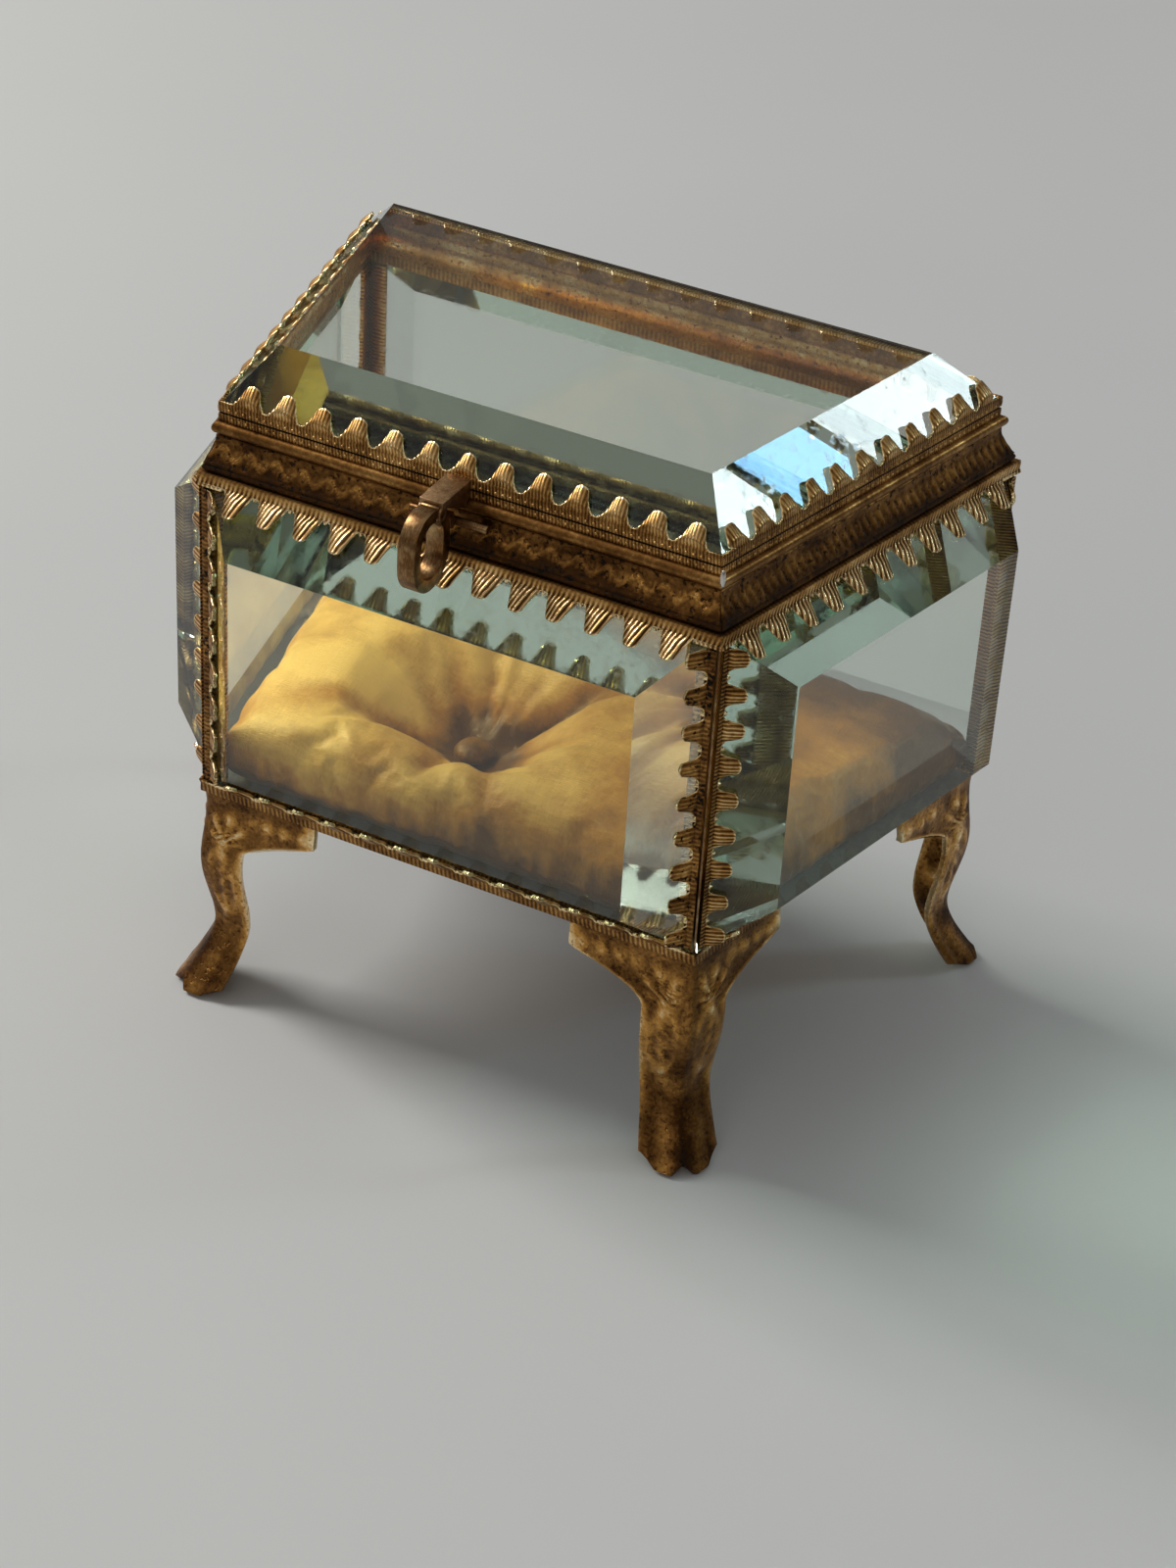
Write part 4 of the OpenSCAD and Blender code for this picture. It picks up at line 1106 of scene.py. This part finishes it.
def covered_button():
    """Satin button: a puckered dome spun from its section."""
    bm = bmesh.new()
    base = PAD_Z + BUTTON_SEAT
    # Radius and height, from the crown round to the middle of its underside
    section = [
        (0.0, 1.7), (0.9, 1.6), (1.6, 1.28), (2.1, 0.8), (2.3, 0.35), (2.15, 0.02), (1.4, 0.0),
        (0.0, 0.0),
    ]
    verts = [bm.verts.new((x, 0, base + z)) for x, z in section]
    edges = [bm.edges.new(pair) for pair in zip(verts, verts[1:])]
    bmesh.ops.spin(bm, geom=verts + edges, cent=(0, 0, 0), axis=(0, 0, 1),
                   angle=2 * math.pi, steps=48, use_merge=True)
    bmesh.ops.remove_doubles(bm, verts=bm.verts, dist=0.0005)
    bmesh.ops.recalc_face_normals(bm, faces=bm.faces)
    for vert in bm.verts:
        turn = math.atan2(vert.co.y, vert.co.x)
        side = math.hypot(vert.co.x, vert.co.y) / BUTTON_R
        if vert.co.z > base + 0.1:
            vert.co.z += 0.06 * side ** 3 * math.cos(PUCKERS * turn)
    bmesh.ops.translate(bm, vec=(TUFT.x, TUFT.y, 0), verts=bm.verts)
    smooth_once(piece_from(bm, "satin_button", "box", "satin", BUTTON_SATIN, "cushion_button"))


# Latch

LATCH_X = -0.4
RING_OUT = 6.6
RING_Z = 66.7
RING_R = 3.4
RING_STRAIGHT = 1.8
LATCH_T = 0.8
LATCH_W = 1.5
STRAP_T = 1.3
STRAP_W = 1.9
# The thumb plate's width next to its node's, and how its tip is bent down
PLATE_WIDTH = 1.12
TIP_OUT = 4.0
TIP_BEND = 0.10


FLAT = math.radians(1)
SHARP_EDGE = math.radians(40)


def softened(node_name, piece_name, body, slot, material, edge, reshape=None):
    """A kept part with its edges rubbed round: a merged copy of the node's mesh, bevelled."""
    bm = bmesh.new()
    bm.from_mesh(nodes[node_name].data)
    bmesh.ops.scale(bm, vec=(1 / MM,) * 3, verts=bm.verts)
    # The node's loose triangles become one skin of flat faces
    bmesh.ops.remove_doubles(bm, verts=bm.verts, dist=0.002)
    bmesh.ops.dissolve_limit(bm, angle_limit=FLAT, verts=bm.verts, edges=bm.edges)
    if reshape:
        for vert in bm.verts:
            reshape(vert.co)
    bmesh.ops.recalc_face_normals(bm, faces=bm.faces)
    sharp = [line for line in bm.edges if line.calc_face_angle(0.0) > SHARP_EDGE]
    bmesh.ops.bevel(bm, geom=sharp, offset=edge, segments=2, profile=0.5, affect="EDGES",
                    material=-1, clamp_overlap=True)
    piece_from(bm, piece_name, body, slot, material, node_name)


def widen_ring(co):
    """Makes the ring's strap wider, and thicker towards the inside."""
    co.x = LATCH_X + (co.x - LATCH_X) * STRAP_W / LATCH_W
    out = Y_SHIFT - DEPTH / 2 - co.y - RING_OUT
    rise = co.z - RING_Z
    rise -= clamp(rise, -RING_STRAIGHT / 2, RING_STRAIGHT / 2)
    far = math.hypot(out, rise)
    if abs(far - (RING_R - LATCH_T)) < 0.05:
        step = (RING_R - STRAP_T) / far - 1
        co.y -= out * step
        co.z += rise * step


def widen_plate(co):
    """Lets the thumb plate's edges show past the cheeks, and bends its tip down a little."""
    out = Y_SHIFT - DEPTH / 2 - co.y
    co.x = LATCH_X + (co.x - LATCH_X) * (PLATE_WIDTH - 0.05 * clamp(out - 3.6))
    co.z -= TIP_BEND * max(0.0, out - TIP_OUT)


def solder_drop():
    """A bright drop of solder run down the lid's near corner."""
    corner = plan(0.62)[1]
    place = Matrix.Translation((corner.x - 0.1, corner.y + 0.1, LID_STRIP_Z + 0.1))
    drawn_out = Matrix.Diagonal((1.0, 1.0, 3.2, 1.0))
    bm = bmesh.new()
    bmesh.ops.create_uvsphere(bm, u_segments=20, v_segments=12, radius=0.3, matrix=place @ drawn_out)
    piece_from(bm, "solder_drop", "lid", "gilt_brass", SOLDER)


# Assembly

chance = random.Random(11)
for k, wall in enumerate(WALLS):
    wall_strip("lower_strip_" + wall, k, LEG_H, 1, chance)
    wall_strip("upper_strip_" + wall, k, WALL_TOP, -1, chance)
    lid_strip("lid_strip_" + wall, k, chance)
    lid_beading(k)
    rim_band(k)
    dress("lid_moulding_" + wall, PLAIN_BRASS)
    dress(wall + "_glass", GLASS)

# Name, wall, its left (-1) or right (1) end seen from outside
POSTS = [
    ("front_left", 0, -1), ("front_right", 0, 1), ("right_front", 1, -1), ("right_back", 1, 1),
    ("back_right", 2, -1), ("back_left", 2, 1), ("left_back", 3, -1), ("left_front", 3, 1),
]
for name, k, e in POSTS:
    brass = PITTED_BRASS if WALLS[k] == "front" else POST_BRASS
    post_strip("post_strip_" + name, k, e, brass, chance)

for i, corner in enumerate(("front_left", "front_right", "back_right", "back_left")):
    foot(i, "foot_" + corner)
    dress("corner_post_" + corner, PIN_BRASS)

pad = puffed_pad()
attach(pad, "box")
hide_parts("cushion")
covered_button()

softened("latch_ring", "finger_ring", "latch", "polished_brass", RING_BRASS,
         edge=0.18, reshape=widen_ring)
softened("thumb_plate", "thumb_tab", "lid", "gilt_brass", THUMB_BRASS, edge=0.13, reshape=widen_plate)
softened("catch_bar", "catch_staple", "box", "gilt_brass", RING_BRASS, edge=0.12)
softened("hinge_leaf_box", "hinge_leaf_box_worn", "box", "gilt_brass", PLAIN_BRASS, edge=0.12)
softened("hinge_leaf_lid", "hinge_leaf_lid_worn", "lid", "gilt_brass", PLAIN_BRASS, edge=0.12)
solder_drop()
for node_name, material in (
    ("lid_glass", GLASS),
    ("base_plate", FLOOR_BRASS),
    ("cushion_card", CARD),
    ("hinge_pin", PIN_BRASS),
    ("latch_pin", PIN_BRASS),
):
    dress(node_name, material)


# Studio

CASKET_MIDDLE = (0, 0, 0.05)
LID_CENTRE = (0, 0, 0.07)
ROOM_BROWN = (0.070, 0.044, 0.028)
ROOM_GREY = (0.33, 0.29, 0.25)
ROOM_PALE = (0.88, 0.90, 0.92)
ROOM_STRENGTH = 0.52
CAMERA_AT = (0.14204, -0.280115, 0.23515)
CAMERA_TURN = math.radians(26.03)
CAMERA_RISE = math.radians(33.876)
CAMERA_ROLL = math.radians(3.546)
LENS = 80.08


def studio_floor():
    """A large pale table top."""
    bm = bmesh.new()
    bmesh.ops.create_grid(bm, x_segments=1, y_segments=1, size=3.0)
    floor = into_scene("floor", mesh_from(bm, "floor"))
    material, tree, shader = new_material("pale_table")
    clouds = noise(tree, 3.0, 4.0, 0.5)
    colour = ramp(tree, clouds, (0.3, (0.585, 0.605, 0.62)), (0.7, (0.665, 0.685, 0.69)))
    feed(tree, shader, "Base Color", colour)
    shader.inputs["Roughness"].default_value = 0.55
    floor.data.materials.append(material)


def soft_lamp(name, place, aim, width, height, power, colour):
    """A plain rectangular lamp that faces the point it is aimed at."""
    lamp = bpy.data.lights.new(name, "AREA")
    lamp.shape = "RECTANGLE"
    lamp.size = width
    lamp.size_y = height
    lamp.energy = power
    lamp.color = colour
    holder = into_scene(name, lamp)
    holder.location = place
    holder.rotation_euler = (Vector(aim) - Vector(place)).to_track_quat("-Z", "Y").to_euler()


def studio_world():
    """Soft room light: pale overhead, darker low down, a brighter side to the left."""
    world = bpy.data.worlds.new("room")
    bpy.context.scene.world = world
    world.use_nodes = True
    tree = world.node_tree
    background = tree.nodes["Background"]
    towards = split(tree, add(tree, "TexCoord").outputs["Generated"])
    rise = fit_range(tree, towards["Z"], -0.1, 0.9, 0.06, 0.72)
    left = fit_range(tree, towards["X"], -1.0, 1.0, 0.30, -0.20)
    behind = fit_range(tree, towards["Y"], 0.1, 1.0, 0.0, -0.22)
    light = calc(tree, "ADD", calc(tree, "ADD", rise, left), behind)
    colour = ramp(tree, light, (0.0, ROOM_BROWN), (0.35, ROOM_GREY), (1.0, ROOM_PALE))
    feed(tree, background, "Color", colour)
    background.inputs["Strength"].default_value = ROOM_STRENGTH


def camera():
    """The photograph's view, from the front right and above."""
    turn = CAMERA_TURN
    rise = CAMERA_RISE
    roll = CAMERA_ROLL
    back = Vector((math.sin(turn) * math.cos(rise), -math.cos(turn) * math.cos(rise), math.sin(rise)))
    right = Vector((math.cos(turn), math.sin(turn), 0))
    up = back.cross(right)
    level = math.cos(roll) * right + math.sin(roll) * up
    upright = -math.sin(roll) * right + math.cos(roll) * up
    lens = bpy.data.cameras.new("camera")
    lens.lens = LENS
    lens.sensor_width = 36
    lens.clip_start = 0.01
    lens.clip_end = 20
    holder = into_scene("camera", lens)
    axes = Matrix((level, upright, back)).transposed().to_4x4()
    holder.matrix_world = Matrix.Translation(CAMERA_AT) @ axes
    bpy.context.scene.camera = holder


studio_floor()
studio_world()
camera()
soft_lamp("left_window", (-0.80, 0.02, 0.70), CASKET_MIDDLE, 0.35, 0.5, 7.4, (1.0, 0.96, 0.90))
soft_lamp("front_fill", (0.10, -0.95, 0.65), CASKET_MIDDLE, 0.6, 0.4, 0.6, (1.0, 0.98, 0.96))
# Three narrow lamps that the lid's right bevel mirrors: (name, place, width, power, colour)
PANE_HIGH = 0.08
PANES = [
    ("right_pane_near", (0.487, 0.351, 0.335), 0.032, 0.16, (0.80, 0.96, 1.0)),
    ("right_pane_mid", (0.470, 0.3735, 0.335), 0.018, 0.095, (0.28, 0.64, 1.0)),
    ("right_pane_far", (0.450, 0.397, 0.325), 0.036, 0.15, (0.82, 0.97, 1.0)),
]
for name, place, width, power, colour in PANES:
    soft_lamp(name, place, LID_CENTRE, width, PANE_HIGH, power, colour)
scene = bpy.context.scene
scene.view_settings.view_transform = "Standard"
# Light crosses many panes before it leaves the casket
scene.cycles.max_bounces = 32
scene.cycles.transmission_bounces = 32
scene.cycles.glossy_bounces = 16
scene.cycles.transparent_max_bounces = 16
